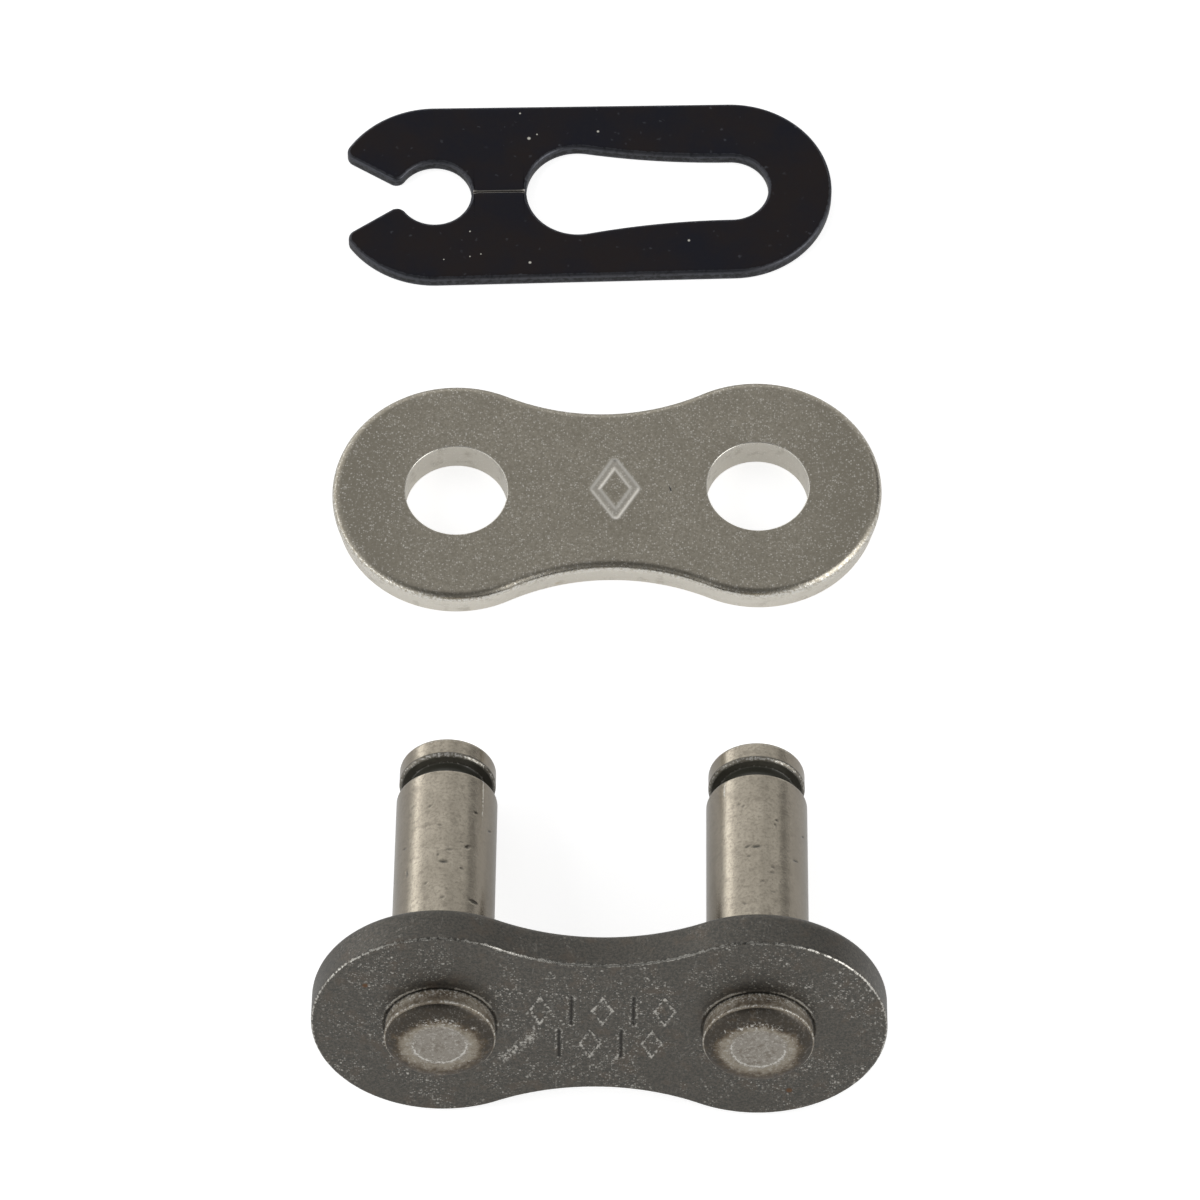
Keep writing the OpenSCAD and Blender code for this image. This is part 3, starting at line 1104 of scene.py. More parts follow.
@dataclass
class PinPlate(EightPlate):
    """Dark pin plate with two short rows of plain stamped ornaments, and rings pressed round the pins.

    A groove has painted shade on its lower flank and a painted highlight on its upper one, most at a
    diamond's tips. Round each pin a pressed ring has painted shade. The raised lip outside it has a
    painted highlight where lip_from to lip_to say so, as a start and a length in degrees from the
    plate's lower side.
    """

    row_y: Pair = (-1.25, 1.2)
    row_x: Pair = (-2.95, 3.25)
    row_shift: float = 0.6
    mark_half: Pair = (0.5, 0.98)
    mark_reach: Pair = (4.4, 3.2)
    marks_in_row: int = 5
    groove_half: float = 0.13
    groove_depth: float = 0.035
    groove_lip: float = 0.01
    # Painted shade and painted highlight on the flanks of the diamonds' grooves.
    flank: float = 0.05
    flank_half: float = 0.06
    flank_shade: float = 0.7
    flank_painted_highlight: float = 0.36
    tip_painted_highlight: float = 0.5
    tip_half: float = 0.3
    bar_half: float = 0.09
    bar_light: float = 0.32
    bar_light_at: float = 0.16
    bar_light_half: float = 0.05
    # The pressed ring round each pin has painted shade, and its lip has a painted highlight.
    ring_r: float = 2.77
    ring_half: float = 0.045
    ring_depth: float = 0.02
    ring_shade: float = 0.7
    lip_r: float = 2.9
    lip_half: float = 0.06
    lip_height: float = 0.02
    lip_painted_highlight: float = 1.1
    lip_from: Pair = (8.0, 14.0)
    lip_to: Pair = (52.0, 25.0)
    rub: tuple[float, float, float, float] = (-4.7, 2.2, -3.3, 0.7)
    rub_half: float = 0.3
    rub_light: float = 0.46

    def ornaments(self) -> tuple[Array, Array]:
        """Upright bars and narrow diamonds by turns, at equal steps in both rows.

        Returns:
            Strokes of the bars, and strokes of the diamonds.
        """
        wide, tall = self.mark_half
        bars, diamonds = [], []
        for row, y in enumerate(self.row_y):
            for number, x in enumerate(np.linspace(*self.row_x, self.marks_in_row)[row:]):
                x = x - self.row_shift * row
                if (number + row) % 2:
                    bars.append([x, y - tall, x, y + tall])
                else:
                    diamonds.extend(diamond(x, y, wide, tall).tolist())
        return np.array(bars), np.array(diamonds)

    def relief(self, x: Array, y: Array) -> tuple[Array, Array, Array]:
        """Stamped ornaments, the ring pressed round each rivet head with its lip, and a rubbed patch, with
        painted shade and painted highlights on the diamonds' flanks, the ring and its lip.

        Args:
            x: First coordinate of the face's points.
            y: Second coordinate of the face's points.

        Returns:
            Height, the share of dark groove and painted shade, and the share of bare wear and painted
            highlight.
        """
        height, stamp, wear = np.zeros_like(x), np.zeros_like(x), np.zeros_like(x)
        near = (np.abs(x) < self.mark_reach[0]) & (np.abs(y) < self.mark_reach[1])
        at_x, at_y = x[near], y[near]
        bars, diamonds = self.ornaments()
        to_bar, to_diamond = stroke_distance(at_x, at_y, bars), stroke_distance(at_x, at_y, diamonds)
        height[near], _ = stamped(np.minimum(to_bar, to_diamond), self.groove_half, self.groove_depth,
                                  self.groove_lip)
        # Painted highlight on one flank of each diamond's groove and painted shade on the other.
        light, shade = (hump(stroke_distance(at_x, at_y + move, diamonds), 0.0, self.flank_half)
                        for move in (-self.flank, self.flank))
        shade = self.flank_shade * shade * (1 - light)
        stamp[near] = np.maximum(hump(to_bar, 0.0, self.bar_half), shade)
        to_tip = np.min([np.hypot(at_x - tip_x, at_y - tip_y) for tip_x, tip_y, _, _ in diamonds], axis=0)
        light *= self.flank_painted_highlight + self.tip_painted_highlight * hump(to_tip, 0.0, self.tip_half)
        wear[near] = light + self.bar_light * hump(to_bar, self.bar_light_at, self.bar_light_half)
        across = np.abs(x) - self.pitch / 2
        out = np.hypot(across, y)
        turn = np.degrees(np.abs(np.arctan2(across, -y)))
        beside = ramp(turn, *self.lip_from) * (1.0 - ramp(turn, *self.lip_to))
        # Painted shade in the pressed ring, and a painted highlight on its lip.
        ring = hump(out, self.ring_r, self.ring_half)
        lip = hump(out, self.lip_r, self.lip_half)
        height += self.lip_height * lip - self.ring_depth * ring
        stamp = np.maximum(stamp, self.ring_shade * ring)
        wear = np.maximum(wear, self.lip_painted_highlight * lip * beside)
        rubbed = hump(stroke_distance(x, y, np.array([self.rub])), 0.0, self.rub_half)
        return height, stamp, np.maximum(wear, self.rub_light * rubbed)


@dataclass(frozen=True)
class Nick:
    """Small dent on a pin: place along the pin and round it from the top, half sizes and slope."""

    length: float
    turn: float
    half_long: float = 0.1
    half_wide: float = 0.05
    slope: float = 0.0


LEFT_NICKS = tuple(Nick(*row) for row in (
    (8.72, -0.7, 0.2, 0.07, -7), (6.42, 36.7, 0.19, 0.062, 3), (12.62, -17.9, 0.1, 0.05, 18),
    (11.23, -6.0, 0.11, 0.04, -13), (8.6, -46.5, 0.2, 0.048, -83), (9.94, 26.8, 0.12, 0.06, 42),
    (10.2, 19.8, 0.08, 0.04, 8), (9.56, 5.5, 0.12, 0.05, 0), (9.2, -7.0, 0.1, 0.045, 62),
    (7.36, -19.7, 0.09, 0.06, 30), (6.27, -0.5, 0.11, 0.045, 26), (8.39, 21.0, 0.09, 0.06, 7),
    (12.5, 35.7, 0.08, 0.045, 28), (12.0, 60.0, 0.15, 0.045, 37), (10.46, -52.1, 0.14, 0.045, -23)))
RIGHT_NICKS = tuple(Nick(*row) for row in (
    (10.05, -12.4, 0.13, 0.052, 23), (10.02, -2.3, 0.2, 0.064, 4), (9.39, -10.4, 0.1, 0.045, 6),
    (13.07, -21.9, 0.09, 0.048, -13), (12.88, -16.9, 0.08, 0.048, 33), (11.96, 22.4, 0.08, 0.052, -21),
    (11.62, 20.5, 0.1, 0.046, -82), (8.7, 16.0, 0.09, 0.045, -13), (8.35, 15.9, 0.1, 0.07, 15),
    (7.66, 4.4, 0.09, 0.04, 3), (7.04, 16.9, 0.09, 0.045, -3), (6.21, -16.0, 0.11, 0.04, -27),
    (9.81, 47.3, 0.16, 0.05, 20), (12.0, 63.0, 0.15, 0.05, 35)))

# Worn flecks on a rivet head: angle from the top in degrees, radius and half size.
FLECKS = ((-5.7, 1.8, 0.08), (4.8, 1.79, 0.07), (11.5, 1.76, 0.09), (6.0, 1.5, 0.11), (31.5, 1.69, 0.12),
          (54.6, 2.05, 0.08), (-23.6, 1.6, 0.09), (19.7, 1.72, 0.06), (49.5, 1.75, 0.07), (-38.0, 1.82, 0.06))


@dataclass
class Pin:
    """Riveted pin: a profile of radius against length turned about its own axis.

    The length counts from the pin plate's outer face. The profile runs from the rivet head's flat
    over its dome, rim and base, along the bearing length and the clip's groove to the free end.

    On the rivet head the dark ring starts at ring_in and reaches further in by ring_wider, above and
    below; its reach above is painted shade, and it is paler below as painted light. belt is the flat's
    share of skin and what it gains outside; crescent is the wear of the flat's rim at the top and the
    painted highlight that it gains below; top_band is a worn band's radius, half size and wear.
    light_line is a painted highlight along the pin: its middle, its angle in degrees and its half length.
    A field that ends in _from holds the start and the length of a smooth step.
    """

    radius: float = 2.59
    plate_t: float = 2.25
    body_end: float = 15.05
    edge: float = 0.08
    groove_r: float = 1.9
    groove_end: float = 16.2
    tip_r: float = 2.48
    tip_end: float = 17.45
    tip_bevel: float = 0.14
    tip_round: float = 0.25
    rim_r: float = 2.79
    base_r: float = 2.72
    rim_h: float = 0.88
    flat_r: float = 1.34
    dome_h: float = 0.4
    rim_round: float = 0.07
    columns: int = 280
    ring_in: float = 2.05
    ring_wider: Pair = (0.4, 0.3)
    # Painted light: how much paler the dark ring is below.
    ring_painted_light_below: float = 0.18
    belt: Pair = (0.25, 0.2)
    crescent_half: float = 0.055
    # Wear of the flat's rim all round, and the painted highlight that it gains below.
    crescent_wear_and_highlight: Pair = (0.16, 0.7)
    top_band: Triple = (1.76, 0.25, 0.13)
    fleck_worn: float = 0.62
    fleck_side: float = 1.0
    band_skin: float = 0.74
    # Painted highlight on the head's side band at its upper left and right: angle, half size, strength.
    band_painted_highlight: Triple = (0.75, 0.4, 0.1)
    band_worn: float = 0.2
    band_worn_from: Pair = (-0.62, 0.3)
    # Painted contact shadow where the band meets the plate: start and length of its step.
    band_dirt_from: Pair = (-0.1, 0.08)
    rim_skin: float = 0.64
    rim_matt: float = 0.55
    nick_depth: float = 0.035
    nick_gain: float = 1.2
    nick_dirt_from: Pair = (0.09, 0.08)
    nicks: tuple[Nick, ...] = ()
    light_line: Triple = (14.3, 46.3, 1.6)
    line_half: float = 0.05
    line_painted_highlight: float = 0.75
    bevel_worn: float = 1.3
    bevel_less: float = 0.8
    bevel_less_from: Pair = (0.2, 0.3)
    # Painted shade down both sides of the pin's length: strength, and start and length of its step, on each
    # side.
    painted_shade_right: float = 0.75
    painted_shade_right_from: Pair = (0.35, 0.5)
    painted_shade_left: float = 0.68
    painted_shade_left_from: Pair = (0.7, 0.14)

    def profile(self) -> tuple[Array, Array, Array, Array]:
        """Profile of the pin from one end of its axis to the other.

        Rows stand a few hundredths of a millimetre off each corner, which keeps its shading crisp.

        Returns:
            Radius, length, and the shares of worn edge and of dirt at each row.
        """
        def level(radii: Array, z: float) -> Array:
            """Rows at one length."""
            return np.stack([radii, np.full_like(radii, z)], -1)

        def upright(r: float, lengths: Array) -> Array:
            """Rows at one radius."""
            return np.stack([np.full_like(lengths, r), lengths], -1)

        top = -self.rim_h
        dome_w = self.rim_r - self.rim_round - self.flat_r
        a = np.radians(np.linspace(0, 90, 34))
        dome = np.stack([self.flat_r + dome_w * np.sin(a), top - self.dome_h * np.cos(a)], -1)
        flat = level(np.linspace(0, self.flat_r, 16)[:-1], top - self.dome_h)
        rim = arc((self.rim_r - self.rim_round, top + self.rim_round), self.rim_round, -90, 0, 5)
        side_z = np.linspace(top + self.rim_round, 0.0, 12)[1:]
        side_share = (side_z - side_z[0]) / (side_z[-1] - side_z[0])
        side = np.stack([self.rim_r + (self.base_r - self.rim_r) * side_share, side_z], -1)
        seat = np.array([[self.radius + 0.002, self.plate_t]])
        body = upright(self.radius, spread(self.plate_t + 0.02, self.body_end - self.edge, 195))
        shoulder = arc((self.radius - self.edge, self.body_end - self.edge), self.edge, 0, 90, 4)[1:]
        end_face = level(np.linspace(self.radius - self.edge, self.groove_r + 0.05, 5)[1:], self.body_end)
        floor = upright(self.groove_r, np.linspace(self.body_end + 0.04, self.groove_end - 0.04, 8))
        corner = level(self.groove_r + np.array([0.02, 0.08]), self.groove_end)
        under_end = self.tip_r - self.tip_bevel - 0.03
        under = level(np.linspace(self.groove_r + 0.14, under_end, 4), self.groove_end)
        share = np.linspace(0, 1, 5)
        bevel_r, bevel_z = self.tip_r - self.tip_bevel * (1 - share), self.groove_end + self.tip_bevel * share
        bevel = np.stack([bevel_r, bevel_z], -1)
        tip_from, tip_to = self.groove_end + self.tip_bevel + 0.04, self.tip_end - self.tip_round
        tip = upright(self.tip_r, np.linspace(tip_from, tip_to, 14)[:-1])
        crown = arc((self.tip_r - self.tip_round, tip_to), self.tip_round, 0, 90, 10)
        close = level(np.linspace(self.tip_r - self.tip_round, 0, 12)[1:], self.tip_end)
        parts = [(flat, 0.0, 0.0), (dome, 0.0, 0.0), (rim[1:], 0.3, 0.0), (side, 0.0, 0.0), (seat, 0.0, 0.0),
                 (body, 0.0, 0.0), (shoulder, 0.25, 0.0), (end_face, 0.0, 0.7), (floor, 0.0, 1.0),
                 (corner, 0.06, 0.95), (under, 0.0, 0.9), (bevel[:2], 0.08, 0.82), (bevel[2:4], 0.46, 0.5),
                 (bevel[4:], 0.2, 0.75), (tip[:1], 0.0, 0.8), (tip[1:], 0.0, 0.0),
                 (crown, 0.15, 0.0), (close, 0.0, 0.0)]
        rz = np.concatenate([points for points, _, _ in parts])
        worn = np.concatenate([np.full(len(points), w) for points, w, _ in parts])
        dirt = np.concatenate([np.full(len(points), d) for points, _, d in parts])
        return rz[:, 0], rz[:, 1], worn, dirt

    def forged(self, r: Array, turn: Array) -> tuple[Array, Array]:
        """Skin left by riveting on the head, by radius and by the angle from the top.

        The flat is rubbed half bare, and its lower rim has a painted highlight. A beige belt follows, and
        outside it a dark ring up to the rim, which reaches further in at the top as painted shade and is
        paler below as painted light. A faint worn band and flecks cross the ring at the top.

        Args:
            r: Radius of each row.
            turn: Angle of each column from the top, in radians.

        Returns:
            Shares of forged skin with painted shade and light, and of worn edge with a painted highlight,
            over rows and columns.
        """
        up = np.cos(turn)[None, :]
        r = r[:, None]
        above, below = self.ring_wider
        # Painted shade where the ring reaches further in at the top; painted light where it is paler below.
        ring_in = self.ring_in - above * smooth(up) - below * smooth(-up - 0.3)
        belt = self.belt[0] + self.belt[1] * ramp(r, self.flat_r - 0.1, 0.4)
        dark = smooth(r - ring_in + 0.5)
        forge = belt + (1.0 - self.ring_painted_light_below * smooth(-up) - belt) * dark
        least, more = self.crescent_wear_and_highlight
        # Wear all round the flat's rim, with a painted highlight on its lower part.
        worn = hump(r, self.flat_r, self.crescent_half) * (least + more * smooth(0.5 - up))
        band_r, band_half, band_worn = self.top_band
        worn = np.maximum(worn, band_worn * hump(r, band_r, band_half) * ramp(up, 0.7, 0.2))
        for angle, fleck_r, half in FLECKS:
            across = fleck_r * (turn - math.radians(angle) * self.fleck_side)
            gap = np.hypot(across[None, :], r - fleck_r)
            worn = np.maximum(worn, self.fleck_worn * hump(gap, 0.0, half))
        return forge, worn

    def dents(self, z: Array, turn: Array) -> tuple[Array, Array]:
        """Depth and darkening of the nicks: bells exp(-q^1.5), where q is the squared distance in half sizes.

        Args:
            z: Length of each row, as a column of rows.
            turn: Angle of each column from the top, in radians.

        Returns:
            Depth, and the share of darkening, over rows and columns.
        """
        depth, darkening = np.zeros((len(z), len(turn))), np.zeros((len(z), len(turn)))
        for nick in self.nicks:
            across = self.radius * (turn - math.radians(nick.turn))[None, :]
            along = z - nick.length
            c, s = math.cos(math.radians(nick.slope)), math.sin(math.radians(nick.slope))
            q = ((across * c + along * s) / nick.half_long) ** 2
            q = (q + ((along * c - across * s) / nick.half_wide) ** 2) / self.nick_gain**2
            dent = np.exp(-(q**1.5))
            depth += self.nick_depth * dent
            darkening = np.maximum(darkening, dent * (0.5 + 0.5 * ramp(nick.half_long, *self.nick_dirt_from)))
        return depth, darkening

    def build(self, name: str, place: Place, side: float) -> bpy.types.Object:
        """Builds the pin.

        Args:
            name: Name of the piece.
            place: Where the pin link lies.
            side: Place of the pin's axis along X.

        Returns:
            The pin's object.
        """
        r, z, worn, dirt = self.profile()
        turn = np.linspace(-np.pi, np.pi, self.columns, endpoint=False)
        shape = (len(r), len(turn))
        edge, darkening = (np.repeat(value[:, None], self.columns, 1) for value in (worn, dirt))
        skin, matt = np.zeros(shape), np.zeros(shape)
        pale_at, pale_half, pale = self.band_painted_highlight
        # Rows of the head, of the band between its rim and the plate, of the rim and of the tip's bevel.
        head = z < TINY - self.rim_h
        band = (z > self.rim_round - self.rim_h + TINY) & (z < 0.01)
        rim = (z > -self.rim_h - self.rim_round) & (z < self.rim_round - self.rim_h + TINY)
        rim &= r > self.rim_r - 0.1
        bevel = (z > self.groove_end + TINY) & (z < self.groove_end + self.tip_bevel + TINY)
        skin[head], rubbed = self.forged(r[head], turn)
        edge[head] = np.maximum(edge[head], rubbed)
        # Painted highlight: the side band is paler about 43 degrees to either side of the top.
        skin[band] = self.band_skin - pale * hump(np.abs(turn), pale_at, pale_half)
        edge[band] = self.band_worn * ramp(z[band], *self.band_worn_from)[:, None]
        # Painted contact shadow at the foot of the head's band, against the plate.
        darkening[band] = np.maximum(darkening[band], ramp(z[band], *self.band_dirt_from)[:, None])
        matt[band], matt[rim], skin[rim] = 1.0, self.rim_matt, self.rim_skin
        z_rows = z[:, None]
        depth, nick_darkening = self.dents(z_rows, turn)
        radius, darkening = r[:, None] - depth, np.maximum(darkening, nick_darkening)
        edge[bevel] *= self.bevel_worn - self.bevel_less * ramp(np.abs(turn), *self.bevel_less_from)
        # Painted highlight: a narrow bright line along the pin, laid in through the worn edge share.
        length, line_turn, line_length = self.light_line
        off = self.radius * (turn - math.radians(line_turn))[None, :]
        line = hump(off, 0.0, self.line_half) * hump(z_rows, length, line_length)
        edge = np.maximum(edge, self.line_painted_highlight * line * (z_rows < self.body_end))
        # Painted shade: the round length darkens towards both sides of the pin, carried as the dull share.
        shaded = self.painted_shade_right * ramp(turn, *self.painted_shade_right_from)
        shaded += self.painted_shade_left * ramp(-turn, *self.painted_shade_left_from)
        round_side = (z > self.plate_t) * ramp(r, self.groove_r + 0.1, 0.2)
        dull = round_side[:, None] * shaded[None, :]
        surface = Surface(("edge", "dirt", "forge", "dull", "matt"))
        points = np.stack([side + radius * np.sin(turn), -radius * np.cos(turn),
                           np.broadcast_to(z_rows, shape)], -1)
        surface.add(points, True, edge=edge, dirt=darkening, forge=skin, dull=dull, matt=matt)
        return surface.make(name, place)


@dataclass
class SpringClip:
    """Spring clip: a flat band worked out as an upper and a lower half about its own axis.

    Each half is a ribbon between its inner curve (mouth, throat, eye, slit, wide slot, narrow slot) and
    its outer curve (open end, straight side, closed end). Both curves start in the middle of the jaw's
    rounding and end on the axis, and a section loop with rounded edges is swept between them. Up to the
    eye's top the outer points run ahead of the inner ones by the power outer_pace.
    """

    half: float = 8.0175
    thick: float = 0.8
    open_r: float = 5.54
    closed_r: float = 5.44
    eye_r: float = 1.98
    slot_r: float = 2.02
    keyhole_r: float = 2.78
    keyhole_x: float = -0.28
    mouth_angle: float = 32.5
    mouth_apex: float = 0.8
    throat_round: float = 0.55
    jaw_round: float = 0.56
    slit_w: float = 0.05
    slit_corner: float = 0.15
    slit_round: float = 0.06
    # Strength of the painted glint on the slit's edge roundings.
    slit_painted_glint: float = 0.6
    edge_round: float = 0.18
    outer_pace: float = 0.9

    def along_mouth(self, gap: float, reach: float) -> Array:
        """Point beside the mouth's side, gap away from it, at a distance reach from the eye's centre."""
        a = math.radians(self.mouth_angle)
        p = np.array([-self.mouth_apex, 0.0]) + gap * np.array([math.sin(a), math.cos(a)])
        d = np.array([-math.cos(a), math.sin(a)])
        b = float(p @ d)
        return p + (math.sqrt(b * b - float(p @ p) + reach * reach) - b) * d

    @staticmethod
    def trace(pieces: list[tuple[Array, Array]]) -> tuple[Array, Array]:
        """Joins pieces of a curve, each with its normals, and drops doubled joints."""
        points = np.concatenate([p for p, _ in pieces])
        normals = np.concatenate([n for _, n in pieces])
        keep = np.concatenate([[True], np.linalg.norm(np.diff(points, axis=0), axis=1) > 1e-7])
        return points[keep], normals[keep]

    @staticmethod
    def bend(centre: Array, r: float, start: float, end: float, steps: int,
             hollow: bool) -> tuple[Array, Array]:
        """Arc with its outward normals, which point at the centre where the arc bounds an opening."""
        a = np.radians(np.linspace(start, end, steps + 1))
        out = np.stack([np.cos(a), np.sin(a)], -1)
        return np.asarray(centre) + r * out, -out if hollow else out

    def slit_end(self, x: float, r: float, way: float) -> tuple[Array, float]:
        """Rounding between the slit and a round hole that it runs into.

        Args:
            x: Place of the hole's centre on the axis.
            r: Radius of the hole.
            way: 1 where the slit leaves the hole forwards, -1 where backwards.

        Returns:
            Centre of the rounding, and the angle at which it meets the hole, in degrees from the axis.
        """
        lift, reach = self.slit_w / 2 + self.slit_corner, r + self.slit_corner
        centre = np.array([x + way * math.sqrt(reach**2 - lift**2), lift])
        return centre, math.degrees(math.asin(lift / reach))

    def curves(self) -> tuple[Array, Array, Array, Array, Array]:
        """Inner and outer curve of the upper half, with outward normals, and the edge rounding along them.

        Returns:
            Inner points and normals, outer points and normals, and the inner edge's rounding.
        """
        eye = np.array([-self.half, 0.0])
        throat = eye + self.along_mouth(self.throat_round, self.eye_r + self.throat_round)
        jaw = eye + self.along_mouth(self.jaw_round, self.open_r - self.jaw_round)
        side = 270.0 - self.mouth_angle
        throat_a = math.degrees(math.atan2(throat[1], throat[0] + self.half))
        jaw_a = math.degrees(math.atan2(jaw[1], jaw[0] + self.half))
        jaw_mid = (side + jaw_a) / 2
        wide, fillet = np.array([self.keyhole_x, 0.0]), self.slit_corner
        corner_eye, eye_a = self.slit_end(-self.half, self.eye_r, 1.0)
        corner_wide, wide_a = self.slit_end(self.keyhole_x, self.keyhole_r, -1.0)
        span = self.half - self.keyhole_x
        blend_r = (span**2 + self.slot_r**2 - self.keyhole_r**2) / (2 * (self.keyhole_r - self.slot_r))
        blend = np.array([self.half, self.slot_r + blend_r])
        touch = math.degrees(math.atan2(blend[1], span))
        slit_x = np.linspace(corner_eye[0], corner_wide[0], 26)[:, None]
        slit = np.concatenate([slit_x, np.full_like(slit_x, self.slit_w / 2)], 1)
        facing = np.array([math.cos(math.radians(side)), math.sin(math.radians(side))])
        start, end = jaw + self.jaw_round * facing, throat + self.throat_round * facing
        mouth = start + (end - start) * np.linspace(0, 1, 14)[:, None]
        inner, inner_n = self.trace([
            self.bend(jaw, self.jaw_round, jaw_mid, side, 8, False),
            (mouth, np.repeat(facing[None], len(mouth), 0)),
            self.bend(throat, self.throat_round, side, throat_a + 180, 14, False),
            self.bend(eye, self.eye_r, throat_a, eye_a, 60, True),
            self.bend(corner_eye, fillet, 180 + eye_a, 270, 8, False),
            (slit, np.repeat([[0.0, -1.0]], len(slit), 0)),
            self.bend(corner_wide, fillet, 270, 360 - wide_a, 8, False),
            self.bend(wide, self.keyhole_r, 180 - wide_a, touch, 60, True),
            self.bend(blend, blend_r, touch - 180, -90, 60, False),
            self.bend(np.array([self.half, 0.0]), self.slot_r, 90, 0, 50, True)])
        return inner, inner_n, *self.match_outer(inner, jaw, jaw_mid, jaw_a)

    def match_outer(self, inner: Array, jaw: Array, jaw_mid: float,
                    jaw_a: float) -> tuple[Array, Array, Array]:
        """Outer points that stand across from the inner ones.

        Up to the eye's top the outer curve is shared out by the inner curve's length; along the straight
        side it keeps the inner point's X; round the closed end it keeps the inner point's angle.

        Args:
            inner: Points of the inner curve.
            jaw: Centre of the jaw's rounding.
            jaw_mid: Angle at which both curves start.
            jaw_a: Angle at which the jaw's rounding meets the open end.

        Returns:
            Outer points, outer normals, and the inner edge's rounding.
        """
        length = np.concatenate([[0.0], np.cumsum(np.linalg.norm(np.diff(inner, axis=0), axis=1))])
        eye = np.array([-self.half, 0.0])
        top = int(np.argmax((inner[:, 0] >= -self.half) & (inner[:, 1] > 0)))
        first = self.trace([
            self.bend(jaw, self.jaw_round, jaw_mid, jaw_a, 24, False),
            self.bend(eye, self.open_r, jaw_a, 90, 240, False)])
        run = np.concatenate([[0.0], np.cumsum(np.linalg.norm(np.diff(first[0], axis=0), axis=1))])
        want = (length[: top + 1] / length[top]) ** self.outer_pace * run[-1]
        outer = np.zeros_like(inner)
        normal = np.zeros_like(inner)
        for column in (0, 1):
            outer[: top + 1, column] = np.interp(want, run, first[0][:, column])
            normal[: top + 1, column] = np.interp(want, run, first[1][:, column])
        rest = slice(top + 1, None)
        x, y = inner[rest, 0], inner[rest, 1]
        end_a = np.arctan2(y, x - self.half)
        turned = x > self.half
        drop = (self.open_r - self.closed_r) / (2 * self.half)
        straight_y = self.open_r - drop * (np.clip(x, -self.half, self.half) + self.half)
        outer[rest, 0] = np.where(turned, self.half + self.closed_r * np.cos(end_a), x)
        outer[rest, 1] = np.where(turned, self.closed_r * np.sin(end_a), straight_y)
        normal[rest, 0] = np.where(turned, np.cos(end_a), 0.0)
        normal[rest, 1] = np.where(turned, np.sin(end_a), 1.0)
        normal /= np.linalg.norm(normal, axis=1)[:, None]
        on_slit = (np.abs(inner[:, 1] - self.slit_w / 2) < TINY) & (inner[:, 0] < 0)
        rounding = np.where(on_slit, self.slit_round, self.edge_round)
        kernel = np.ones(5) / 5
        rounding = np.convolve(np.pad(rounding, 2, mode="edge"), kernel, mode="valid")
        return outer, normal, rounding

    def build(self, name: str, place: Place) -> bpy.types.Object:
        """Builds the clip.

        Args:
            name: Name of the piece.
            place: Where the clip lies.

        Returns:
            The clip's object.
        """
        inner, inner_n, outer, outer_n, rounding = self.curves()
        surface = Surface(("edge", "wall", "slit"))
        # Painted glint on the slit's narrow edge roundings.
        painted_glint = np.where(rounding < self.edge_round - 0.02, self.slit_painted_glint, 0.0)
        t, r = self.thick, self.edge_round
        a = np.radians(np.linspace(0, 90, 6))[:, None, None]
        rr = rounding[None, :, None]
        top_in, top_out = inner - rounding[:, None] * inner_n, outer - r * outer_n
        s = np.linspace(0, 1, 26)[:, None, None]
        face = top_in * (1 - s) + top_out * s
        out_arc = outer - r * (1 - np.sin(a)) * outer_n
        in_arc = inner - rr * (1 - np.sin(a)) * inner_n
        out_z = np.broadcast_to(r * (1 - np.cos(a)), (6, len(outer), 1))
        in_z = rr * (1 - np.cos(a))
        for side in (1.0, -1.0):
            flip = np.array([1.0, side])
            for level in (1.0, -1.0):
                def lift(points: Array, drop: Array | float) -> Array:
                    """Adds the height of a row, counted from the upper or the lower face."""
                    z = np.broadcast_to(drop, points.shape[:-1] + (1,))
                    return np.concatenate([points * flip, t - z if level > 0 else z], -1)
                surface.add(lift(face, 0.0))
                surface.add(lift(out_arc, out_z), edge=1.0, wall=0.5)
                surface.add(lift(in_arc, in_z), edge=1.0, wall=0.5, slit=painted_glint[None, :])
            rows = np.linspace(0, 1, 5)[:, None]
            wall_out = np.broadcast_to(outer * flip, (5, len(outer), 2))
            wall_in = np.broadcast_to(inner * flip, (5, len(inner), 2))
            z_out = np.broadcast_to(r + (t - 2 * r) * rows, (5, len(outer)))
            z_in = rounding + (t - 2 * rounding) * rows
            surface.add(np.concatenate([wall_out, z_out[..., None]], -1), edge=0.3, wall=1.0)
            surface.add(np.concatenate([wall_in, z_in[..., None]], -1), edge=0.3, wall=1.0)
        return surface.make(name, place)


# The whole set and its stage.


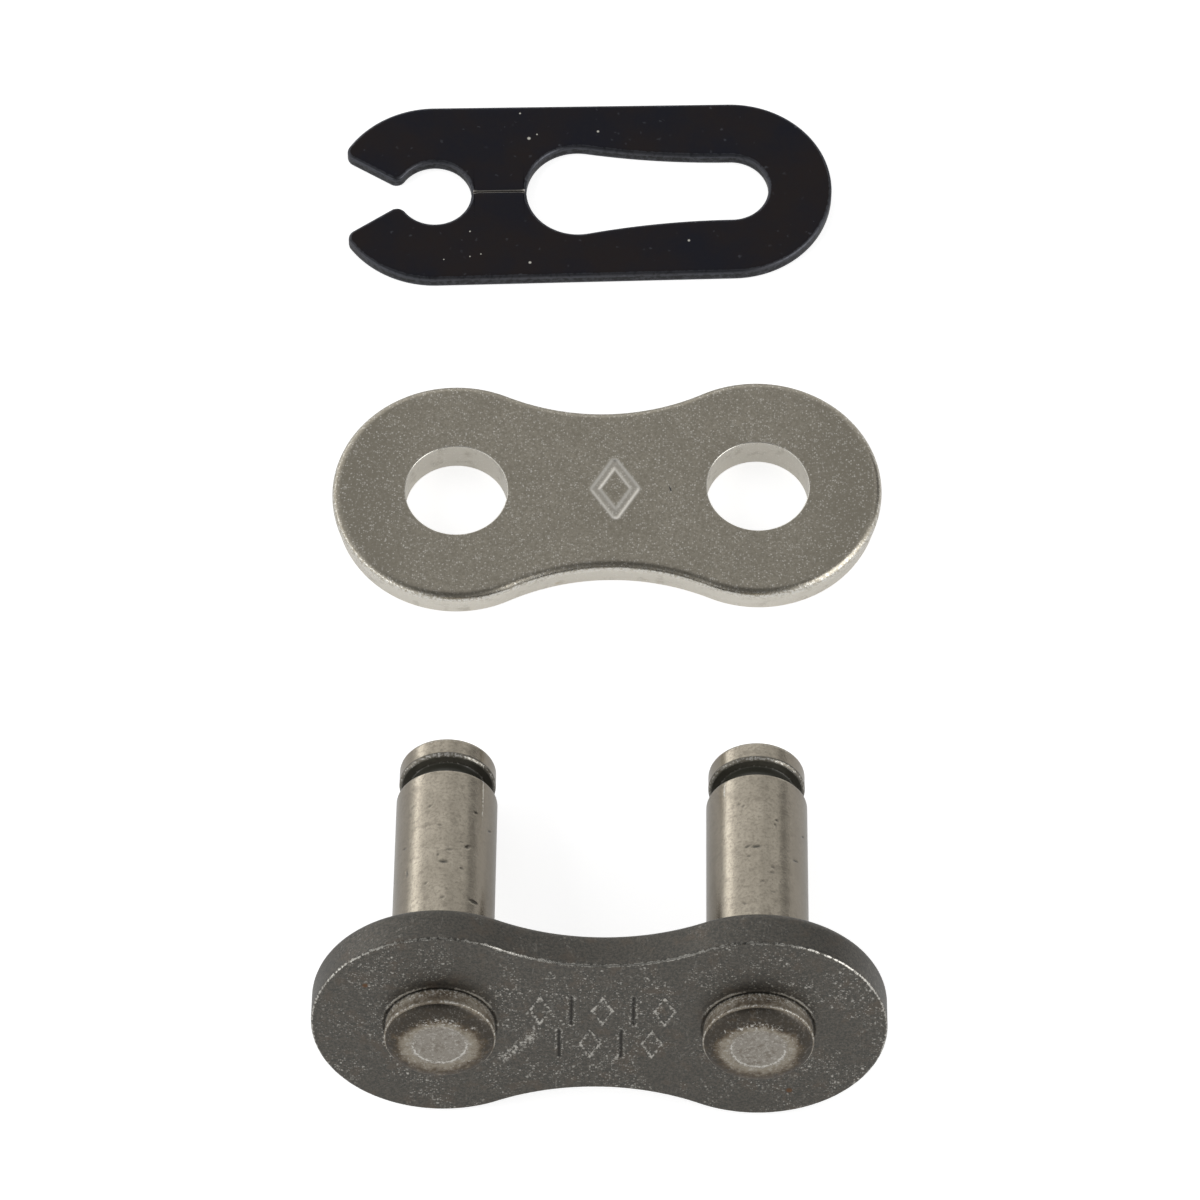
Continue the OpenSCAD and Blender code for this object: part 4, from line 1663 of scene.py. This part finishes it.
@dataclass
class ConnectingLink:
    """The whole set: pin link, cover plate and spring clip, each where the solids lie.

    bore_rounds are the radii of the upper and the lower rim of the cover plate's bores, and stain_level
    is the height of the stains on its front wall.
    """

    tilt: float = 14.36103
    link_at: Triple = (-0.07, -28.85506, 6.67645)
    cover_at: Triple = (0.0, 5.19298, 0.0)
    clip_at: Triple = (-1.5, 24.81617, 0.0)
    cover_turn: float = 1.75
    clip_turn: float = 2.15
    half_pitch: float = 7.9375
    bore_r: float = 2.69
    bore_rounds: Pair = (0.05, 0.3)
    stain_level: float = 0.75
    effects: Effects = field(default_factory=Effects)

    def dress(self, piece: bpy.types.Object, node: str, material: bpy.types.Material) -> None:
        """Gives a piece its material and lets it stand for its solid.

        Args:
            piece: The new piece.
            node: Name of the solid that it stands for.
            material: The finish.
        """
        piece.data.materials.append(material)
        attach(piece, "root")
        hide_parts(node)
        LOG.info("%s: %d points, %d faces", piece.name, len(piece.data.vertices), len(piece.data.polygons))

    @staticmethod
    def spots(place: Place, level: float, rows: tuple[Triple, ...]) -> Array:
        """Spots on a part's face, carried to the shared frame.

        Args:
            place: Where the part lies.
            level: Height of the face in the part's frame.
            rows: One row for each spot, as x, y and radius.

        Returns:
            One row for each spot, as x, y, z and radius.
        """
        given = np.array(rows)
        points = np.column_stack([given[:, :2], np.full(len(given), level)])
        return np.column_stack([place.put(points), given[:, 2]])

    def build(self) -> None:
        """Builds and dresses all five pieces."""
        link = Place(self.link_at, tilt=self.tilt)
        lies = Place(self.cover_at, self.cover_turn)
        clip = Place(self.clip_at, self.clip_turn)
        small, large = self.bore_rounds
        cover = CoverPlate()
        cover_bore = np.concatenate([
            arc((self.bore_r + small, small), small, 270, 180, 5),
            [[self.bore_r, depth] for depth in (0.3, 0.8, 1.5)],
            arc((self.bore_r + large, cover.thick - large), large, 180, 90, 6)])
        cover.bore = tuple(map(tuple, cover_bore))
        plate = PinPlate(end_r=6.45, waist=4.6, thick=2.25, show_round=0.14, hidden_round=0.6,
                         hidden_inset=0.0, bore=((2.72, 0.0), (2.655, 1.1), (2.59, 2.25)),
                         middle_step=0.36, show_polish=0.7, polish_at=0.5, waist_polish=0.5)
        stains = self.spots(lies, self.stain_level, ((-2.72, -4.71, 0.28), (-2.55, -4.69, 0.2)))
        nicks = self.spots(lies, cover.thick, (
            (3.33, -0.12, 0.07), (3.35, -0.19, 0.065), (3.31, -0.05, 0.06), (3.28, 0.01, 0.045)))
        plated = PlatedSteel().build(self.effects, stains, nicks)
        self.dress(cover.build("cover_plate_dressed", lies, True), "cover_plate", plated)
        rust = self.spots(link, 0.0, ((-11.64, -2.93, 0.2), (9.6, 4.6, 0.22)))
        self.dress(plate.build("pin_plate_dressed", link, False), "pin_plate",
                   DarkPlateSteel().build(self.effects, rust))
        pin_steel = PinSteel(tilt=self.tilt).build(self.effects)
        left = Pin(nicks=LEFT_NICKS)
        right = Pin(nicks=RIGHT_NICKS, fleck_side=-1.0, light_line=(14.4, -41.0, 0.5))
        for node, pin, side in (("left_pin", left, -1.0), ("right_pin", right, 1.0)):
            piece = pin.build(node + "_dressed", link, side * self.half_pitch)
            self.dress(piece, node, pin_steel)
        spring = SpringClip()
        bare = self.spots(clip, spring.thick, (
            (-2.85, 3.39, 0.12), (-2.41, 3.64, 0.06), (0.91, 3.76, 0.09), (-3.3, 5.03, 0.07),
            (-2.97, -4.6, 0.1), (-6.16, -2.54, 0.06), (-6.19, -4.14, 0.05), (-5.6, -4.0, 0.05),
            (5.62, -3.38, 0.09), (-7.6, -4.3, 0.05)))
        self.dress(spring.build("spring_clip_dressed", clip), "spring_clip",
                   BluedSteel().build(self.effects, bare))


@dataclass
class Studio:
    """Pale table, soft light and the camera at the photograph's angle.

    A way is a direction out of the scene. A reach holds the cosines at which a change near that way
    starts and is complete. Heights lie between the horizon at 0 and the zenith at 1.
    """

    aim: Pair = (-0.3, -0.345)
    height: float = 346.3
    elevation: float = 59.922
    roll: float = 0.729
    focal_px: float = 7620.0
    frame_px: float = 1200.0
    sensor: float = 36.0
    table: Colour = (0.6, 0.6, 0.6)
    glow_seen: float = 0.75
    glow_mirrored: float = 0.28
    sky_low: float = 0.72
    sky_middle: float = 0.6
    sky_high: float = 0.42
    band_gain: float = 1.35
    dark_way: Triple = (0.0, -0.6, 0.8)
    dark_reach: Pair = (0.7, 0.95)
    dark_share: float = 0.3
    corner_way: Triple = (0.8, 0.52, 0.3)
    corner_reach: Pair = (0.93, 0.98)
    corner_share: float = 0.1
    glow_way: Triple = (-0.36, 0.83, 0.42)
    glow_reach: Pair = (0.82, 0.97)
    glow_gain: float = 0.2
    low_heights: Pair = (-0.05, 0.55)
    high_heights: Pair = (0.5, 0.85)
    band_heights: Pair = (0.0, 0.34)
    band_left: Pair = (0.36, 0.7)
    band_right: Pair = (0.45, 0.7)
    band_front: Pair = (-0.1, 0.3)
    table_r: Pair = (30.0, 2500.0)
    table_drop: float = 0.005

    def camera(self) -> None:
        """Puts the camera where the photograph was taken from, with its small roll."""
        e, roll = math.radians(self.elevation), math.radians(self.roll)
        right = np.array([1.0, 0.0, 0.0])
        up = np.array([0.0, math.sin(e), math.cos(e)])
        back = np.array([0.0, -math.cos(e), math.sin(e)])
        x = math.cos(roll) * right + math.sin(roll) * up
        y = -math.sin(roll) * right + math.cos(roll) * up
        lens = bpy.data.cameras.new("camera")
        lens.sensor_width = self.sensor
        lens.lens = self.focal_px * self.sensor / self.frame_px
        lens.clip_start = 0.01
        lens.clip_end = 10.0
        eye = bpy.data.objects.new("camera", lens)
        bpy.context.scene.collection.objects.link(eye)
        at = np.array([self.aim[0], self.aim[1] - self.height / math.tan(e), self.height]) * METRES
        eye.matrix_world = Matrix([[x[i], y[i], back[i], at[i]] for i in range(3)] + [[0, 0, 0, 1]])
        bpy.context.scene.camera = eye

    def floor(self) -> None:
        """Table: a large flat disc of rings whose shader keeps the shadow on white."""
        r = np.concatenate([[0.0], np.geomspace(*self.table_r, 24)])[:, None]
        a = np.linspace(0, 2 * np.pi, 97)[None, :-1]
        points = np.stack([r * np.cos(a), r * np.sin(a), np.zeros((len(r), a.size))], -1)
        surface = Surface(())
        surface.add(points, True)
        piece = surface.make("table", Place((0.0, 0.0, -self.table_drop)))
        material = bpy.data.materials.new("table_white")
        material.use_nodes = True
        g = Graph(material.node_tree)
        g.tree.nodes.clear()
        path = g.add("LightPath")
        seen = g.times(path.outputs["Is Camera Ray"], self.glow_seen)
        mirrored = g.times(path.outputs["Is Glossy Ray"], self.glow_mirrored)
        diffuse = g.add("BsdfDiffuse")
        diffuse.inputs["Color"].default_value = (*self.table, 1.0)
        glow = g.add("Emission")
        g.feed(glow.inputs["Strength"], g.math("ADD", seen, mirrored))
        both = g.add("AddShader")
        g.tree.links.new(diffuse.outputs[0], both.inputs[0])
        g.tree.links.new(glow.outputs[0], both.inputs[1])
        out = g.add("OutputMaterial")
        g.tree.links.new(both.outputs[0], out.inputs[0])
        piece.data.materials.append(material)

    @staticmethod
    def lamp(name: str, at: Triple, size: Pair, power: float, mirrored: bool) -> None:
        """Soft box that looks at the middle of the table.

        Args:
            name: Name of the lamp.
            at: Place in millimetres.
            size: Width and height in millimetres.
            power: Power in watts.
            mirrored: Whether the metal mirrors the lamp itself, besides taking its light.
        """
        light = bpy.data.lights.new(name, "AREA")
        light.shape = "RECTANGLE"
        light.size, light.size_y = size[0] * METRES, size[1] * METRES
        light.energy = power
        lamp = bpy.data.objects.new(name, light)
        lamp.visible_glossy = mirrored
        bpy.context.scene.collection.objects.link(lamp)
        z = np.array(at) / np.linalg.norm(at)
        x = np.cross([0.0, 0.0, 1.0], z) + np.array([TINY, 0.0, 0.0])
        x /= np.linalg.norm(x)
        y = np.cross(z, x)
        lamp.matrix_world = Matrix([[x[i], y[i], z[i], at[i] * METRES] for i in range(3)] + [[0, 0, 0, 1]])

    def world(self) -> None:
        """Even studio surroundings, with low bright bands at the left and right front and two dim places."""
        world = bpy.data.worlds.new("studio")
        bpy.context.scene.world = world
        world.use_nodes = True
        g = Graph(world.node_tree)
        sky = g.tree.nodes["Background"]
        sky.inputs["Color"].default_value = (1.0, 1.0, 1.0, 1.0)
        way = g.add("TexCoord").outputs["Generated"]
        split = g.add("SeparateXYZ")
        g.feed(split.inputs[0], way)
        x, y, z = split.outputs

        def seen(toward: Triple, reach: Pair, to_low: float, to_high: float) -> bpy.types.NodeSocket:
            """Value that changes near one way out of the scene."""
            return g.span(g.vector("DOT_PRODUCT", way, toward), *reach, to_low, to_high)

        low = g.span(z, *self.low_heights, self.sky_low, self.sky_middle)
        high = g.span(z, *self.high_heights, 0.0, self.sky_middle - self.sky_high)
        level = g.span(z, *self.band_heights, self.band_gain, 0.0)
        left = g.span(g.times(x, -1.0), *self.band_left)
        right = g.times(g.span(x, *self.band_right), g.span(y, *self.band_front, 1.0, 0.0))
        band = g.times(level, g.math("ADD", left, right))
        glow = seen(self.glow_way, self.glow_reach, 0.0, self.glow_gain)
        dark = seen(self.dark_way, self.dark_reach, 1.0, self.dark_share)
        dim = g.times(dark, seen(self.corner_way, self.corner_reach, 1.0, self.corner_share))
        light = g.math("ADD", g.math("ADD", g.math("SUBTRACT", low, high), band), glow)
        g.feed(sky.inputs["Strength"], g.times(light, dim))

    def build(self) -> None:
        """Builds the stage."""
        self.camera()
        self.floor()
        self.world()
        self.lamp("left_box", (-1000.0, -250.0, 650.0), (1000.0, 900.0), 7.0, False)
        self.lamp("right_box", (1000.0, -450.0, 600.0), (900.0, 800.0), 4.5, True)
        bpy.context.scene.view_settings.view_transform = "Standard"


def main() -> None:
    """Builds the set and its stage."""
    logging.basicConfig(level=logging.INFO, format="%(name)s: %(message)s")
    ConnectingLink().build()
    Studio().build()


if __name__ == "__main__":
    main()
